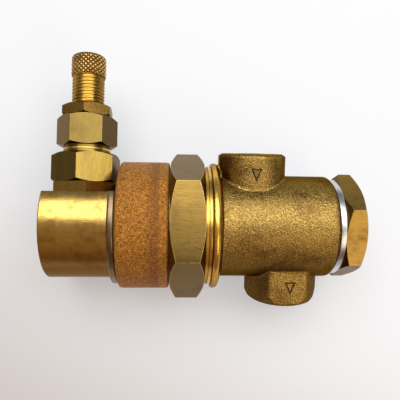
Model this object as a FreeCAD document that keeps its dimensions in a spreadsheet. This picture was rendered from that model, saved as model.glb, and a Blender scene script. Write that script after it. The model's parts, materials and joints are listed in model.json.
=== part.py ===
import FreeCAD, Part
import math
import os
import re
import Sketcher

# Unloader valve with an in-line check valve, a sintered silencer ring and a pilot valve.
# Millimetres and degrees. +X runs along the main axis from the cap's end face, which holds
# the origin, to the end plug. +Z points up from the hexagon flat that the valve lies on.
# The pilot valve stands near +Y, and the two ports leave the body near +Y and -Y.

SIZES = {
    # Cylinder cap, a turned cup with one milled flat that carries the pilot valve
    "cap_radius": 19.2,
    "cap_length": 22.4,
    "cap_flat_height": 10.8,
    "cap_end_wall": 4.5,
    "cap_chamber_radius": 6.5,
    "cap_chamfer": 0.6,
    "spigot_engagement": 4.0,
    # Clearances that every fit is worked out from
    "thread_gap": 0.1,
    "sliding_gap": 0.05,
    "face_gap": 0.1,
    "ring_gap": 0.02,
    # Steel washer and sintered silencer ring, clamped between the cap and the hexagon
    "washer_thickness": 2.6,
    "washer_radius": 21.4,
    "silencer_length": 17.6,
    "silencer_bore_radius": 15.5,
    "silencer_chamfer": 0.7,
    # Bonnet, from its threaded spigot to the thread that enters the body
    "spigot_radius": 9.4,
    "barrel_radius": 12.5,
    "shoulder_radius": 21.0,
    "shoulder_height": 0.3,
    "bonnet_flats": 46.0,
    "bonnet_hex_length": 12.0,
    "collar_radius": 21.3,
    "collar_length": 1.1,
    "bonnet_thread_reach": 8.8,
    "bonnet_thread_relief": 1.6,
    "cylinder_radius": 7.5,
    "cylinder_length": 12.4,
    "web_thickness": 4.0,
    "cavity_radius": 9.5,
    "cavity_length": 9.6,
    "exhaust_hole_radius": 1.9,
    "exhaust_hole_setback": 2.6,
    "hex_chamfer_angle": 30.0,
    # Copper seal ring between the bonnet and the body
    "gasket_thickness": 1.2,
    "gasket_inset": 1.2,
    # Exhaust seat ring, screwed into the bonnet from the body side
    "seat_radius": 9.9,
    "seat_length": 5.0,
    "seat_bore_radius": 6.0,
    "seat_lip_width": 1.2,
    "seat_lip_height": 0.4,
    "seat_slot_width": 2.0,
    "seat_slot_depth": 1.5,
    # Unloader: piston, hollow stem and exhaust poppet, which slide as one
    "unloader_travel": 2.8,
    "crown_thickness": 3.5,
    "piston_length": 8.0,
    "skirt_wall": 1.85,
    "stem_radius": 3.0,
    "stem_tail_radius": 2.5,
    "stem_tip_radius": 2.0,
    "stem_bore_radius": 1.0,
    "stem_collar_radius": 4.2,
    "stem_collar_length": 1.4,
    "stem_tip_length": 3.5,
    "stem_tail_reach": 2.1,
    "sensing_hole_radius": 0.6,
    "sensing_hole_setback": 6.5,
    "piston_nut_flats": 7.0,
    "piston_nut_height": 2.8,
    "poppet_nut_flats": 8.0,
    "poppet_nut_height": 2.7,
    "poppet_radius": 8.0,
    "poppet_thickness": 3.7,
    "seal_margin": 0.6,
    "seal_depth": 1.5,
    "seal_proud": 0.2,
    "piston_ring_section": 0.85,
    "stem_ring_section": 0.8,
    # Forged valve body
    "body_length": 43.8,
    "body_radius": 18.6,
    "body_end_radius": 2.0,
    "flange_setback": 0.1,
    "flange_rim": 1.4,
    "flange_length": 2.4,
    "flange_chamfer": 0.8,
    "body_thread_radius": 15.0,
    "body_chamber_radius": 13.0,
    "bonnet_thread_depth": 9.3,
    "inlet_chamber_length": 10.5,
    "partition_thickness": 3.5,
    "plug_thread_depth": 8.0,
    "check_bore_radius": 6.0,
    "boss_flats": 24.0,
    "inlet_reach": 26.8,
    "outlet_reach": 27.5,
    "boss_dome_width": 3.2,
    "boss_dome_height": 3.8,
    "inlet_corner_radius": 9.0,
    "outlet_corner_radius": 2.0,
    "boss_foot_radius": 1.2,
    "inlet_place": 15.2,
    "outlet_setback": 16.3,
    "port_radius": 7.6,
    "port_depth": 12.0,
    "port_chamfer": 0.8,
    "inlet_passage_radius": 4.8,
    "inlet_passage_shift": -0.6,
    "outlet_passage_radius": 5.2,
    "outlet_passage_shift": 2.1,
    # Check valve and end plug
    "check_disc_radius": 9.0,
    "check_disc_thickness": 3.5,
    "check_hub_radius": 4.6,
    "check_hub_length": 5.0,
    "check_travel": 3.5,
    "plug_washer_thickness": 2.2,
    "plug_washer_width": 2.5,
    "plug_flats": 34.0,
    "plug_head_length": 7.3,
    "plug_shank_length": 7.6,
    "plug_recess_radius": 8.0,
    "plug_recess_depth": 3.0,
    "plug_guide_depth": 6.0,
    # How the screwed pieces are turned about the main axis, from the hexagon's flat
    "port_clocking": 13.0,
    "plug_clocking": 16.7,
    "pilot_clocking": 2.5,
    # Pilot valve, stacked on the cap's flat
    "pilot_setback": 10.65,
    "stub_radius": 6.5,
    "stub_length": 7.7,
    "jam_nut_flats": 22.0,
    "jam_nut_height": 4.0,
    "jam_nut_turn": 39.2,
    "pilot_flats": 22.0,
    "pilot_hex_height": 10.6,
    "pilot_turn": 24.9,
    "pilot_neck_radius": 8.3,
    "pilot_neck_height": 1.2,
    "pilot_thread_radius": 6.9,
    "pilot_thread_height": 5.4,
    "pilot_gasket_radius": 8.5,
    "pilot_gasket_thickness": 0.8,
    "feed_radius": 1.5,
    "ball_seat_height": 6.7,
    "ball_radius": 2.4,
    "ball_chamber_radius": 2.9,
    "ball_chamber_depth": 3.1,
    "ball_gap": 0.03,
    "spring_chamber_radius": 4.3,
    "vent_radius": 0.5,
    "housing_flats": 19.0,
    "housing_hex_height": 10.9,
    "housing_collar_radius": 8.45,
    "housing_collar_height": 0.9,
    "housing_socket_depth": 5.2,
    "housing_turn": 8.0,
    "lock_nut_flats": 17.0,
    "lock_nut_height": 4.2,
    "lock_nut_turn": 32.8,
    "adjuster_radius": 5.9,
    "adjuster_shown": 11.2,
    "adjuster_hidden": 9.4,
    "adjuster_bore_radius": 4.0,
    "adjuster_bore_depth": 16.0,
    "knob_radius": 6.35,
    "knob_height": 8.0,
    "knob_chamfer": 0.9,
    "button_pin_radius": 2.0,
    "button_pin_height": 0.8,
    "button_flange_radius": 3.9,
    "button_flange_height": 1.4,
    "button_spigot_radius": 2.1,
    "button_spigot_height": 2.0,
    "cup_radius": 3.8,
    "cup_height": 1.4,
    # Coil springs, wound from the wire given as its radius
    "return_wire_radius": 0.55,
    "return_coil_radius": 4.75,
    "return_coil_turns": 3.0,
    "check_wire_radius": 0.5,
    "check_coil_radius": 6.0,
    "check_coil_turns": 3.0,
    "pilot_wire_radius": 0.55,
    "pilot_coil_radius": 2.95,
    "pilot_coil_turns": 5.0,
}

# Stations along the main axis and heights above it, worked out from the sizes
PLACES = {
    "cap_shoulder": "cap_length - spigot_engagement",
    "pilot_place": "cap_length - pilot_setback",
    "bonnet_seat": "cap_length + washer_thickness",
    "silencer_radius": "bonnet_flats / 2",
    "hex_start": "silencer_length + shoulder_height",
    "hex_end": "hex_start + bonnet_hex_length",
    "collar_end": "hex_end + collar_length",
    "bonnet_end": "collar_end + gasket_thickness + bonnet_thread_reach",
    "flange_radius": "bonnet_flats / 2 - flange_setback",
    "gasket_radius": "flange_radius - gasket_inset",
    "spigot_start": "cap_shoulder + sliding_gap * 4 - bonnet_seat",
    "web_start": "spigot_start + cylinder_length",
    "cavity_start": "web_start + web_thickness",
    "cavity_end": "cavity_start + cavity_length",
    "body_start": "bonnet_seat + collar_end + gasket_thickness",
    "body_end": "body_start + body_length",
    "piston_start": "cap_shoulder + face_gap",
    "crown_end": "piston_start + crown_thickness",
    "web_face": "bonnet_seat + web_start",
    "exhaust_lip": "bonnet_seat + cavity_end - seat_lip_height",
    "poppet_end": "exhaust_lip - face_gap - unloader_travel - seal_proud",
    "poppet_start": "poppet_end - poppet_thickness",
    "outlet_place": "body_length - outlet_setback",
    "partition_start": "bonnet_thread_depth + inlet_chamber_length",
    "partition_end": "partition_start + partition_thickness",
    "check_lip": "partition_end + seat_lip_height",
    "plug_thread_start": "body_length - plug_thread_depth",
    "plug_washer_radius": "body_thread_radius + plug_washer_width",
    "check_start": "body_start + check_lip + face_gap + seal_proud",
    "check_back": "check_start + check_disc_thickness",
    "plug_head_start": "body_end + plug_washer_thickness",
    "plug_start": "body_end - plug_shank_length",
    "plug_seat": "plug_start + plug_recess_depth",
    "stem_tail_end": "plug_seat + stem_tail_reach",
    "sensing_hole_place": "stem_tail_end - sensing_hole_setback",
    "pilot_start": "cap_flat_height + jam_nut_height",
    "neck_start": "pilot_start + pilot_hex_height",
    "gasket_start": "neck_start + pilot_neck_height",
    "housing_start": "gasket_start + pilot_gasket_thickness",
    "nut_start": "housing_start + housing_collar_height + housing_hex_height",
    "thread_shown": "nut_start + lock_nut_height",
    "ball_seat": "pilot_start + ball_seat_height",
    "ball_centre": "ball_seat + sqrt(ball_radius * ball_radius - feed_radius * feed_radius) + ball_gap",
    "button_start": "ball_centre + ball_radius + sliding_gap",
    "spring_foot": "button_start + button_pin_height + button_flange_height",
    "adjuster_start": "thread_shown - adjuster_hidden",
    "cup_top": "adjuster_start + adjuster_bore_depth - face_gap",
    "spring_head": "cup_top - cup_height",
}

NAMES = re.compile(r"[a-z]+(?:_[a-z]+)+")
X_AXIS = FreeCAD.Vector(1, 0, 0)

doc = FreeCAD.newDocument("UnloaderValve")
sheet = doc.addObject("Spreadsheet::Sheet", "Sizes")
for row, (name, value) in enumerate(SIZES.items(), start=1):
    sheet.set(f"A{row}", name)
    sheet.set(f"B{row}", str(value))
    sheet.setAlias(f"B{row}", name)
doc.recompute()

nodes = []


def bound(formula):
    """Write a formula of named sizes and places as an expression on the sheet."""
    def spell(match):
        word = match.group(0)
        if word in PLACES:
            return "(" + bound(PLACES[word]) + ")"
        return "Sizes." + word if word in SIZES else word
    return NAMES.sub(spell, formula)


def worth(formula):
    """The number that a formula of named sizes comes to."""
    found = sheet.evalExpression(bound(formula))
    return float(getattr(found, "Value", found))


def new_body(label):
    body = doc.addObject("PartDesign::Body", label)
    body.Label = label
    nodes.append(body)
    return body


def new_sketch(body, role, at="0", turn="0"):
    """An empty sketch on one of the body's own origin planes, moved along the plane's normal."""
    sketch = body.newObject("Sketcher::SketchObject", "Sketch")
    plane = next(item for item in body.Origin.OriginFeatures if item.Role == role)
    sketch.AttachmentSupport = [(plane, "")]
    sketch.MapMode = "FlatFace"
    if at != "0":
        sketch.setExpression("AttachmentOffset.Base.z", bound(at))
    if turn != "0":
        sketch.AttachmentOffset = FreeCAD.Placement(FreeCAD.Vector(), FreeCAD.Rotation(FreeCAD.Vector(0, 0, 1), 1))
        sketch.setExpression("AttachmentOffset.Rotation.Angle", bound(turn))
    return sketch


def fix_point(sketch, shape, end, across, along):
    """Tie one point of a sketch to the sizes, measured from the sketch's origin."""
    for kind, formula, axis in (("DistanceX", across, -2), ("DistanceY", along, -1)):
        if formula == "0":
            sketch.addConstraint(Sketcher.Constraint("PointOnObject", shape, end, axis))
        else:
            held = sketch.addConstraint(Sketcher.Constraint(kind, -1, 1, shape, end, worth(formula)))
            sketch.setExpression(f"Constraints[{held}]", bound(formula))


def outline(sketch, corners, arcs=None):
    """A closed outline through the corners. arcs gives the centre of each round stretch by
    the number of the corner that it starts from, and whether it turns clockwise."""
    arcs = arcs or {}
    points = [FreeCAD.Vector(worth(across), worth(along), 0) for across, along in corners]
    count = len(points)
    for index, point in enumerate(points):
        following = points[(index + 1) % count]
        if index in arcs:
            across, along, clockwise = arcs[index]
            centre = FreeCAD.Vector(worth(across), worth(along), 0)
            circle = Part.Circle(centre, FreeCAD.Vector(0, 0, 1), centre.distanceToPoint(point))
            start, end = (following, point) if clockwise else (point, following)
            sketch.addGeometry(Part.ArcOfCircle(circle, circle.parameter(start), circle.parameter(end)), False)
        else:
            sketch.addGeometry(Part.LineSegment(point, following), False)
    for index in range(count):
        following = (index + 1) % count
        leaving = 1 if index in arcs and arcs[index][2] else 2
        arriving = 2 if following in arcs and arcs[following][2] else 1
        sketch.addConstraint(Sketcher.Constraint("Coincident", index, leaving, following, arriving))
    for index, (across, along) in enumerate(corners):
        start = 2 if index in arcs and arcs[index][2] else 1
        fix_point(sketch, index, start, across, along)
    for index, (across, along, clockwise) in arcs.items():
        chord = points[(index + 1) % count] - points[index]
        kind, formula = ("DistanceY", along) if abs(chord.x) > abs(chord.y) else ("DistanceX", across)
        held = sketch.addConstraint(Sketcher.Constraint(kind, -1, 1, index, 3, worth(formula)))
        sketch.setExpression(f"Constraints[{held}]", bound(formula))
    return sketch


def turn_about(body, kind, sketch, axis):
    feature = body.newObject(kind, "Turned")
    feature.Profile = sketch
    feature.ReferenceAxis = (sketch, [axis])
    feature.Angle = 360
    return feature


def turned(body, corners, arcs=None, cut=False, upright=False):
    """A turned form. The outline runs along X and out from it, or with upright, along Z."""
    if upright:
        corners = [(out, along) for along, out in corners]
        arcs = {index: (out, along, not way) for index, (along, out, way) in (arcs or {}).items()}
    sketch = outline(new_sketch(body, "XZ_Plane" if upright else "XY_Plane"), corners, arcs)
    kind = "PartDesign::Groove" if cut else "PartDesign::Revolution"
    return turn_about(body, kind, sketch, "V_Axis" if upright else "H_Axis")


def tube(body, start, end, inner, outer, upright=False):
    return turned(body, [(start, inner), (end, inner), (end, outer), (start, outer)], upright=upright)


def hexagon(body, flats, start, length, upright=False, turn="0"):
    """A hexagon bar from start, along X with a flat on top, or with upright, along Z."""
    half, corner = f"({flats}) / 2", f"({flats}) / sqrt(3)"
    corners = [(corner, "0"), (f"{corner} / 2", half), (f"-{corner} / 2", half),
               (f"-{corner}", "0"), (f"-{corner} / 2", f"-{half}"), (f"{corner} / 2", f"-{half}")]
    sketch = outline(new_sketch(body, "XY_Plane" if upright else "YZ_Plane", start, turn), corners)
    pad = body.newObject("PartDesign::Pad", "Hexagon")
    pad.Profile = sketch
    pad.setExpression("Length", bound(length))
    return pad


def chamfer_corners(body, flats, end, way, upright=False):
    """The turned chamfer that takes a hexagon's corners off at one end. way is + where the
    end faces along the axis and - where it faces back."""
    back = "-" if way == "+" else "+"
    inner, outer = f"({flats}) / 2", f"({flats}) * 0.6"
    depth = f"({outer} - {inner}) * tan(hex_chamfer_angle)"
    beyond = f"({end}) {way} ({flats}) / 20"
    corners = [(end, inner), (beyond, inner), (beyond, outer), (f"({end}) {back} {depth}", outer)]
    return turned(body, corners, cut=True, upright=upright)


def drill(body, role, across, along, radius, start, reverse=False, depth=None):
    """A round hole from a plane parallel to one of the origin planes, outwards along its normal."""
    sketch = new_sketch(body, role, start)
    centre = FreeCAD.Vector(worth(across), worth(along), 0)
    sketch.addGeometry(Part.Circle(centre, FreeCAD.Vector(0, 0, 1), worth(radius)), False)
    fix_point(sketch, 0, 3, across, along)
    held = sketch.addConstraint(Sketcher.Constraint("Radius", 0, worth(radius)))
    sketch.setExpression(f"Constraints[{held}]", bound(radius))
    pocket = body.newObject("PartDesign::Pocket", "Drilled")
    pocket.Profile = sketch
    pocket.Reversed = reverse
    if depth:
        pocket.setExpression("Length", bound(depth))
    else:
        pocket.Type = "ThroughAll"
    return pocket


def place(body, start, clocking="0"):
    """Set a piece on the main axis, turned about it by its clocking."""
    body.Placement = FreeCAD.Placement(FreeCAD.Vector(), FreeCAD.Rotation(X_AXIS, 1))
    body.setExpression("Placement.Base.x", bound(start))
    body.setExpression("Placement.Rotation.Angle", bound(clocking))


def place_on_pilot(body, height):
    """Set an upright piece on the pilot valve's axis, height above the main axis."""
    body.Placement = FreeCAD.Placement(FreeCAD.Vector(), FreeCAD.Rotation(X_AXIS, 1))
    body.setExpression("Placement.Base.x", bound("pilot_place"))
    body.setExpression("Placement.Base.y", bound(f"({height}) * cos(pilot_clocking)"))
    body.setExpression("Placement.Base.z", bound(f"({height}) * sin(pilot_clocking)"))
    body.setExpression("Placement.Rotation.Angle", bound("pilot_clocking - 90"))


def coil(label, length, coil_radius, wire_radius, turns):
    """A coil spring along its own Z, wound from six-sided wire to keep it light."""
    body = new_body(label)
    sides = 6
    corners = []
    for side in range(sides):
        angle = 360 * (side + 0.5) / sides
        corners.append((f"{coil_radius} + {wire_radius} * cos({angle})",
                        f"{wire_radius} + {wire_radius} * sin({angle})"))
    sketch = outline(new_sketch(body, "XZ_Plane"), corners)
    helix = body.newObject("PartDesign::AdditiveHelix", "Coil")
    helix.Profile = sketch
    helix.ReferenceAxis = (sketch, ["V_Axis"])
    helix.Mode = "height-turns-growth"
    rise = f"({length}) - 2 * {wire_radius}"
    helix.setExpression("Height", bound(rise))
    helix.setExpression("Turns", bound(turns))
    return body


def mill_flat(body, radius):
    """The flat that the pilot valve stands on, milled along the main axis."""
    side = f"{radius} * 1.1"
    sketch = outline(new_sketch(body, "YZ_Plane"), [
        ("cap_flat_height", side), ("cap_flat_height", f"-{side}"), (side, f"-{side}"), (side, side)])
    flat = body.newObject("PartDesign::Pocket", "PilotFlat")
    flat.Profile = sketch
    flat.Midplane = True
    flat.Type = "ThroughAll"
    return flat


def cylinder_cap():
    body = new_body("cylinder_cap")
    outer = [("0", "0"), ("0", "cap_radius - cap_chamfer"), ("cap_chamfer", "cap_radius"),
             ("cap_length", "cap_radius"), ("cap_length", "0")]
    turned(body, outer)
    bore = "spigot_radius + thread_gap"
    hollow = [("cap_end_wall", "0"), ("cap_end_wall", "cap_chamber_radius"),
              ("cap_shoulder", "cap_chamber_radius"), ("cap_shoulder", bore),
              ("cap_length", bore), ("cap_length", "0")]
    turned(body, hollow, cut=True)
    mill_flat(body, "cap_radius")
    drill(body, "XZ_Plane", "pilot_place", "0", "stub_radius + thread_gap", "-cap_chamber_radius / 2")
    place(body, "0", "pilot_clocking")


def steel_washer():
    body = new_body("steel_washer")
    bore, rim = "spigot_radius + thread_gap * 2", "washer_radius - washer_thickness / 2"
    corners = [("0", bore), ("0", rim), ("washer_thickness", rim), ("washer_thickness", bore)]
    turned(body, corners, {1: ("washer_thickness / 2", rim, True)})
    mill_flat(body, "washer_radius")
    place(body, "cap_length", "pilot_clocking")


def silencer_ring():
    body = new_body("silencer_ring")
    edge, far = "silencer_radius - silencer_chamfer", "silencer_length - silencer_chamfer"
    corners = [("0", "silencer_bore_radius"), ("0", edge), ("silencer_chamfer", "silencer_radius"),
               (far, "silencer_radius"), ("silencer_length", edge), ("silencer_length", "silencer_bore_radius")]
    turned(body, corners)
    place(body, "bonnet_seat")


def bonnet():
    body = new_body("bonnet")
    hexagon(body, "bonnet_flats", "hex_start", "bonnet_hex_length")
    chamfer_corners(body, "bonnet_flats", "hex_start", "-")
    chamfer_corners(body, "bonnet_flats", "hex_end", "+")
    thread = "body_thread_radius - thread_gap"
    turned(body, [("spigot_start", "0"), ("spigot_start", "spigot_radius"), ("0", "spigot_radius"),
                  ("0", "barrel_radius"), ("silencer_length", "barrel_radius"),
                  ("silencer_length", "shoulder_radius"), ("hex_start", "shoulder_radius"),
                  ("hex_end", "shoulder_radius"), ("hex_end", "collar_radius"), ("collar_end", "collar_radius"),
                  ("collar_end", thread), ("bonnet_end", thread), ("bonnet_end", "0")])
    groove = "stem_radius + 2 * stem_ring_section + ring_gap * 2"
    guide = "stem_radius + sliding_gap"
    groove_start = "web_start + (web_thickness - bonnet_thread_relief) / 2"
    groove_end = "web_start + (web_thickness + bonnet_thread_relief) / 2"
    turned(body, [("spigot_start", "0"), ("spigot_start", "cylinder_radius"), ("web_start", "cylinder_radius"),
                  ("web_start", guide), (groove_start, guide), (groove_start, groove), (groove_end, groove),
                  (groove_end, guide), ("cavity_start", guide), ("cavity_start", "cavity_radius"),
                  ("cavity_end", "cavity_radius"), ("cavity_end", "seat_radius + thread_gap"),
                  ("bonnet_end", "seat_radius + thread_gap"), ("bonnet_end", "0")], cut=True)
    hole = drill(body, "XY_Plane", "cavity_start + exhaust_hole_setback", "0", "exhaust_hole_radius",
                 "cavity_radius / 2", reverse=True, depth="barrel_radius")
    ring = body.newObject("PartDesign::PolarPattern", "ExhaustHoles")
    ring.Originals = [hole]
    ring.Axis = (next(item for item in body.Origin.OriginFeatures if item.Role == "X_Axis"), [""])
    ring.Angle = 360
    ring.Occurrences = 8
    body.Tip = ring
    place(body, "bonnet_seat")


def bonnet_gasket():
    body = new_body("bonnet_gasket")
    tube(body, "0", "gasket_thickness", "body_thread_radius + thread_gap", "gasket_radius")
    place(body, "bonnet_seat + collar_end")


def exhaust_seat():
    body = new_body("exhaust_seat")
    lip = "seat_bore_radius + seat_lip_width"
    turned(body, [("-seat_lip_height", "seat_bore_radius"), ("-seat_lip_height", lip), ("0", lip),
                  ("0", "seat_radius"), ("seat_length", "seat_radius"), ("seat_length", "seat_bore_radius")])
    half, reach = "seat_slot_width / 2", "seat_radius * 1.1"
    sketch = outline(new_sketch(body, "YZ_Plane", "seat_length"), [
        (half, reach), (f"-{half}", reach), (f"-{half}", f"-{reach}"), (half, f"-{reach}")])
    slot = body.newObject("PartDesign::Pocket", "SpannerSlot")
    slot.Profile = sketch
    slot.setExpression("Length", bound("seat_slot_depth"))
    place(body, "bonnet_seat + cavity_end")


def unloader_piston():
    body = new_body("unloader_piston")
    outer, skirt = "cylinder_radius - sliding_gap", "cylinder_radius - sliding_gap - skirt_wall"
    floor = "cylinder_radius - 2 * piston_ring_section - ring_gap * 2"
    near = "crown_thickness / 2 - piston_ring_section - ring_gap"
    far = "crown_thickness / 2 + piston_ring_section + ring_gap"
    bore = "stem_tip_radius + ring_gap"
    turned(body, [("0", bore), ("0", outer), (near, outer), (near, floor), (far, floor), (far, outer),
                  ("piston_length", outer), ("piston_length", skirt), ("crown_thickness", skirt),
                  ("crown_thickness", bore)])
    place(body, "piston_start")


def seal_cord(label, centre_radius, section, start):
    """A round-section seal ring about the main axis, drawn eight-sided to keep it light."""
    body = new_body(label)
    sides = 8
    corners = []
    for side in range(sides):
        angle = 360 * (side + 0.5) / sides
        corners.append((f"{section} * cos({angle})", f"{centre_radius} + {section} * sin({angle})"))
    turned(body, corners)
    place(body, start)


def clamp_nut(label, flats, height, bore, start):
    """A small hexagon nut about the main axis."""
    body = new_body(label)
    hexagon(body, flats, "0", height)
    turned(body, [("0", "0"), ("0", bore), (height, bore), (height, "0")], cut=True)
    place(body, start)


def unloader_stem():
    body = new_body("unloader_stem")
    tip_end = "piston_start + crown_thickness"
    collar_start = "poppet_start - stem_collar_length"
    tip_start = "piston_start - stem_tip_length"
    turned(body, [(tip_start, "stem_bore_radius"), (tip_start, "stem_tip_radius"), (tip_end, "stem_tip_radius"),
                  (tip_end, "stem_radius"), (collar_start, "stem_radius"), (collar_start, "stem_collar_radius"),
                  ("poppet_start", "stem_collar_radius"), ("poppet_start", "stem_tail_radius"),
                  ("stem_tail_end", "stem_tail_radius"), ("stem_tail_end", "stem_bore_radius")])
    sketch = new_sketch(body, "XY_Plane")
    sketch.addGeometry(Part.Circle(FreeCAD.Vector(worth("sensing_hole_place"), 0, 0),
                                   FreeCAD.Vector(0, 0, 1), worth("sensing_hole_radius")), False)
    fix_point(sketch, 0, 3, "sensing_hole_place", "0")
    held = sketch.addConstraint(Sketcher.Constraint("Radius", 0, worth("sensing_hole_radius")))
    sketch.setExpression(f"Constraints[{held}]", bound("sensing_hole_radius"))
    hole = body.newObject("PartDesign::Pocket", "SensingHole")
    hole.Profile = sketch
    hole.Midplane = True
    hole.Type = "ThroughAll"
    place(body, "0")


def seal_disc(label, seal_label, start, seal_side, radius, thickness, bore, hub=None):
    """A valve disc with a rubber ring let into the face that meets its seat.
    seal_side is + where that face looks along +X."""
    body = new_body(label)
    near, far = "seat_bore_radius - seal_margin", "seat_bore_radius + seat_lip_width + seal_margin"
    if seal_side == "+":
        corners = [("0", bore), ("0", radius), (thickness, radius), (thickness, far),
                   (f"{thickness} - seal_depth", far), (f"{thickness} - seal_depth", near),
                   (thickness, near), (thickness, bore)]
        seal_start, seal_end = f"{thickness} - seal_depth", f"{thickness} + seal_proud"
    else:
        back = [(thickness, radius)]
        if hub:
            hub_radius, hub_end = hub
            back += [(thickness, hub_radius), (hub_end, hub_radius), (hub_end, bore)]
        corners = [("0", bore), ("0", near), ("seal_depth", near), ("seal_depth", far), ("0", far),
                   ("0", radius)] + back
        seal_start, seal_end = "-seal_proud", "seal_depth"
    turned(body, corners)
    place(body, start)
    seal = new_body(seal_label)
    tube(seal, seal_start, seal_end, near, far)
    place(seal, start)


def rounded_hexagon(middle, flats, corner_radius):
    """The corners and arcs of a hexagon with a flat on top and its corners rounded."""
    reach = f"({flats} - 2 * {corner_radius}) / sqrt(3)"
    corners, arcs = [], {}
    for angle in range(0, 360, 60):
        across, along = f"{middle} + {reach} * cos({angle})", f"{reach} * sin({angle})"
        arcs[len(corners)] = (across, along, False)
        for turn in (angle - 30, angle + 30):
            corners.append((f"{across} + {corner_radius} * cos({turn})", f"{along} + {corner_radius} * sin({turn})"))
    return corners, arcs


def rounded_boss(body, middle, way, corner_radius, reach):
    """A forged hexagon boss that leaves the body along +Y or -Y, with a domed rim."""
    corners, arcs = rounded_hexagon(middle, "boss_flats", corner_radius)
    pad = body.newObject("PartDesign::Pad", "Boss")
    pad.Profile = outline(new_sketch(body, "XZ_Plane"), corners, arcs)
    pad.Reversed = way == "+"
    pad.setExpression("Length", bound(reach))
    rim = f"{middle} + boss_flats / sqrt(3)"
    top, foot = f"{way}({reach})", f"{way}({reach} - boss_dome_height)"
    crown = f"{way}({reach} + boss_dome_height / 4)"
    flat_edge, wide = f"{rim} - boss_dome_width", f"{rim} + boss_dome_width"
    sketch = outline(new_sketch(body, "XY_Plane"),
                     [(flat_edge, top), (rim, foot), (wide, foot), (wide, crown), (flat_edge, crown)])
    axis = sketch.addGeometry(Part.LineSegment(FreeCAD.Vector(), FreeCAD.Vector(1, 1, 0)), True)
    fix_point(sketch, axis, 1, middle, "0")
    fix_point(sketch, axis, 2, middle, top)
    return turn_about(body, "PartDesign::Groove", sketch, "Axis0")


def blend_feet(body, base):
    """Round the line where the forged bosses run into the barrel."""
    doc.recompute()
    feet = []
    for number, edge in enumerate(base.Shape.Edges, start=1):
        span = edge.LastParameter - edge.FirstParameter
        spots = [edge.valueAt(edge.FirstParameter + span * share) for share in (0, 0.5, 1)]
        on_barrel = all(abs(math.hypot(spot.y, spot.z) - worth("body_radius")) < 0.01 for spot in spots)
        if on_barrel and worth("flange_length") < spots[1].x < worth("body_length - body_end_radius"):
            feet.append(f"Edge{number}")
    fillet = body.newObject("PartDesign::Fillet", "BossFeet")
    fillet.Base = (base, feet)
    fillet.setExpression("Radius", bound("boss_foot_radius"))
    return fillet


def valve_body():
    body = new_body("valve_body")
    end = "body_length - body_end_radius"
    shoulder = "body_radius - body_end_radius"
    turned(body, [("0", "0"), ("0", "flange_radius - flange_chamfer"), ("flange_chamfer", "flange_radius"),
                  ("flange_rim", "flange_radius"), ("flange_length", "body_radius"), (end, "body_radius"),
                  ("body_length", shoulder), ("body_length", "0")], {5: (end, shoulder, True)})
    rounded_boss(body, "inlet_place", "+", "inlet_corner_radius", "inlet_reach")
    outlet = rounded_boss(body, "outlet_place", "-", "outlet_corner_radius", "outlet_reach")
    blend_feet(body, outlet)
    lip = "check_bore_radius + seat_lip_width"
    turned(body, [("0", "0"), ("0", "body_thread_radius"), ("bonnet_thread_depth", "body_thread_radius"),
                  ("bonnet_thread_depth", "body_chamber_radius"), ("partition_start", "body_chamber_radius"),
                  ("partition_start", "check_bore_radius"), ("check_lip", "check_bore_radius"),
                  ("check_lip", lip), ("partition_end", lip), ("partition_end", "body_chamber_radius"),
                  ("plug_thread_start", "body_chamber_radius"), ("plug_thread_start", "body_thread_radius"),
                  ("body_length", "body_thread_radius"), ("body_length", "0")], cut=True)
    chamber = "body_chamber_radius / 2"
    drill(body, "XZ_Plane", "inlet_place", "0", "port_radius", "port_depth - inlet_reach")
    drill(body, "XZ_Plane", "inlet_place + inlet_passage_shift", "0", "inlet_passage_radius", f"-{chamber}")
    drill(body, "XZ_Plane", "outlet_place", "0", "port_radius", "outlet_reach - port_depth", reverse=True)
    last = drill(body, "XZ_Plane", "outlet_place + outlet_passage_shift", "0", "outlet_passage_radius",
                 chamber, reverse=True)
    doc.recompute()
    mouths = []
    for number, edge in enumerate(last.Shape.Edges, start=1):
        round_edge = isinstance(edge.Curve, Part.Circle) and abs(edge.Curve.Radius - worth("port_radius")) < 0.01
        reaches = (worth("inlet_reach"), -worth("outlet_reach"))
        if round_edge and any(abs(edge.Curve.Center.y - reach) < 0.01 for reach in reaches):
            mouths.append(f"Edge{number}")
    chamfer = body.newObject("PartDesign::Chamfer", "PortMouths")
    chamfer.Base = (last, mouths)
    chamfer.setExpression("Size", bound("port_chamfer"))
    body.Tip = chamfer
    place(body, "body_start", "port_clocking")


def end_plug():
    body = new_body("end_plug")
    head_end = "plug_head_start + plug_head_length - plug_start"
    head_start = "plug_head_start - plug_start"
    hexagon(body, "plug_flats", head_start, "plug_head_length")
    chamfer_corners(body, "plug_flats", head_start, "-")
    chamfer_corners(body, "plug_flats", head_end, "+")
    shank = "body_thread_radius - thread_gap"
    turned(body, [("0", "0"), ("0", shank), (head_start, shank), (head_start, "0")])
    guide = "stem_tail_radius + sliding_gap"
    guide_end = "plug_recess_depth + plug_guide_depth"
    turned(body, [("0", "0"), ("0", "plug_recess_radius"), ("plug_recess_depth", "plug_recess_radius"),
                  ("plug_recess_depth", guide), (guide_end, guide), (guide_end, "0")], cut=True)
    place(body, "plug_start", "plug_clocking")


def plug_washer():
    body = new_body("plug_washer")
    tube(body, "0", "plug_washer_thickness", "body_thread_radius", "plug_washer_radius")
    place(body, "body_end")


def pilot_hexagon(body, flats, start, height, turn):
    hexagon(body, flats, start, height, upright=True, turn=turn)
    end = height if start == "0" else f"{start} + {height}"
    chamfer_corners(body, flats, end, "+", upright=True)
    chamfer_corners(body, flats, start, "-", upright=True)


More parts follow.
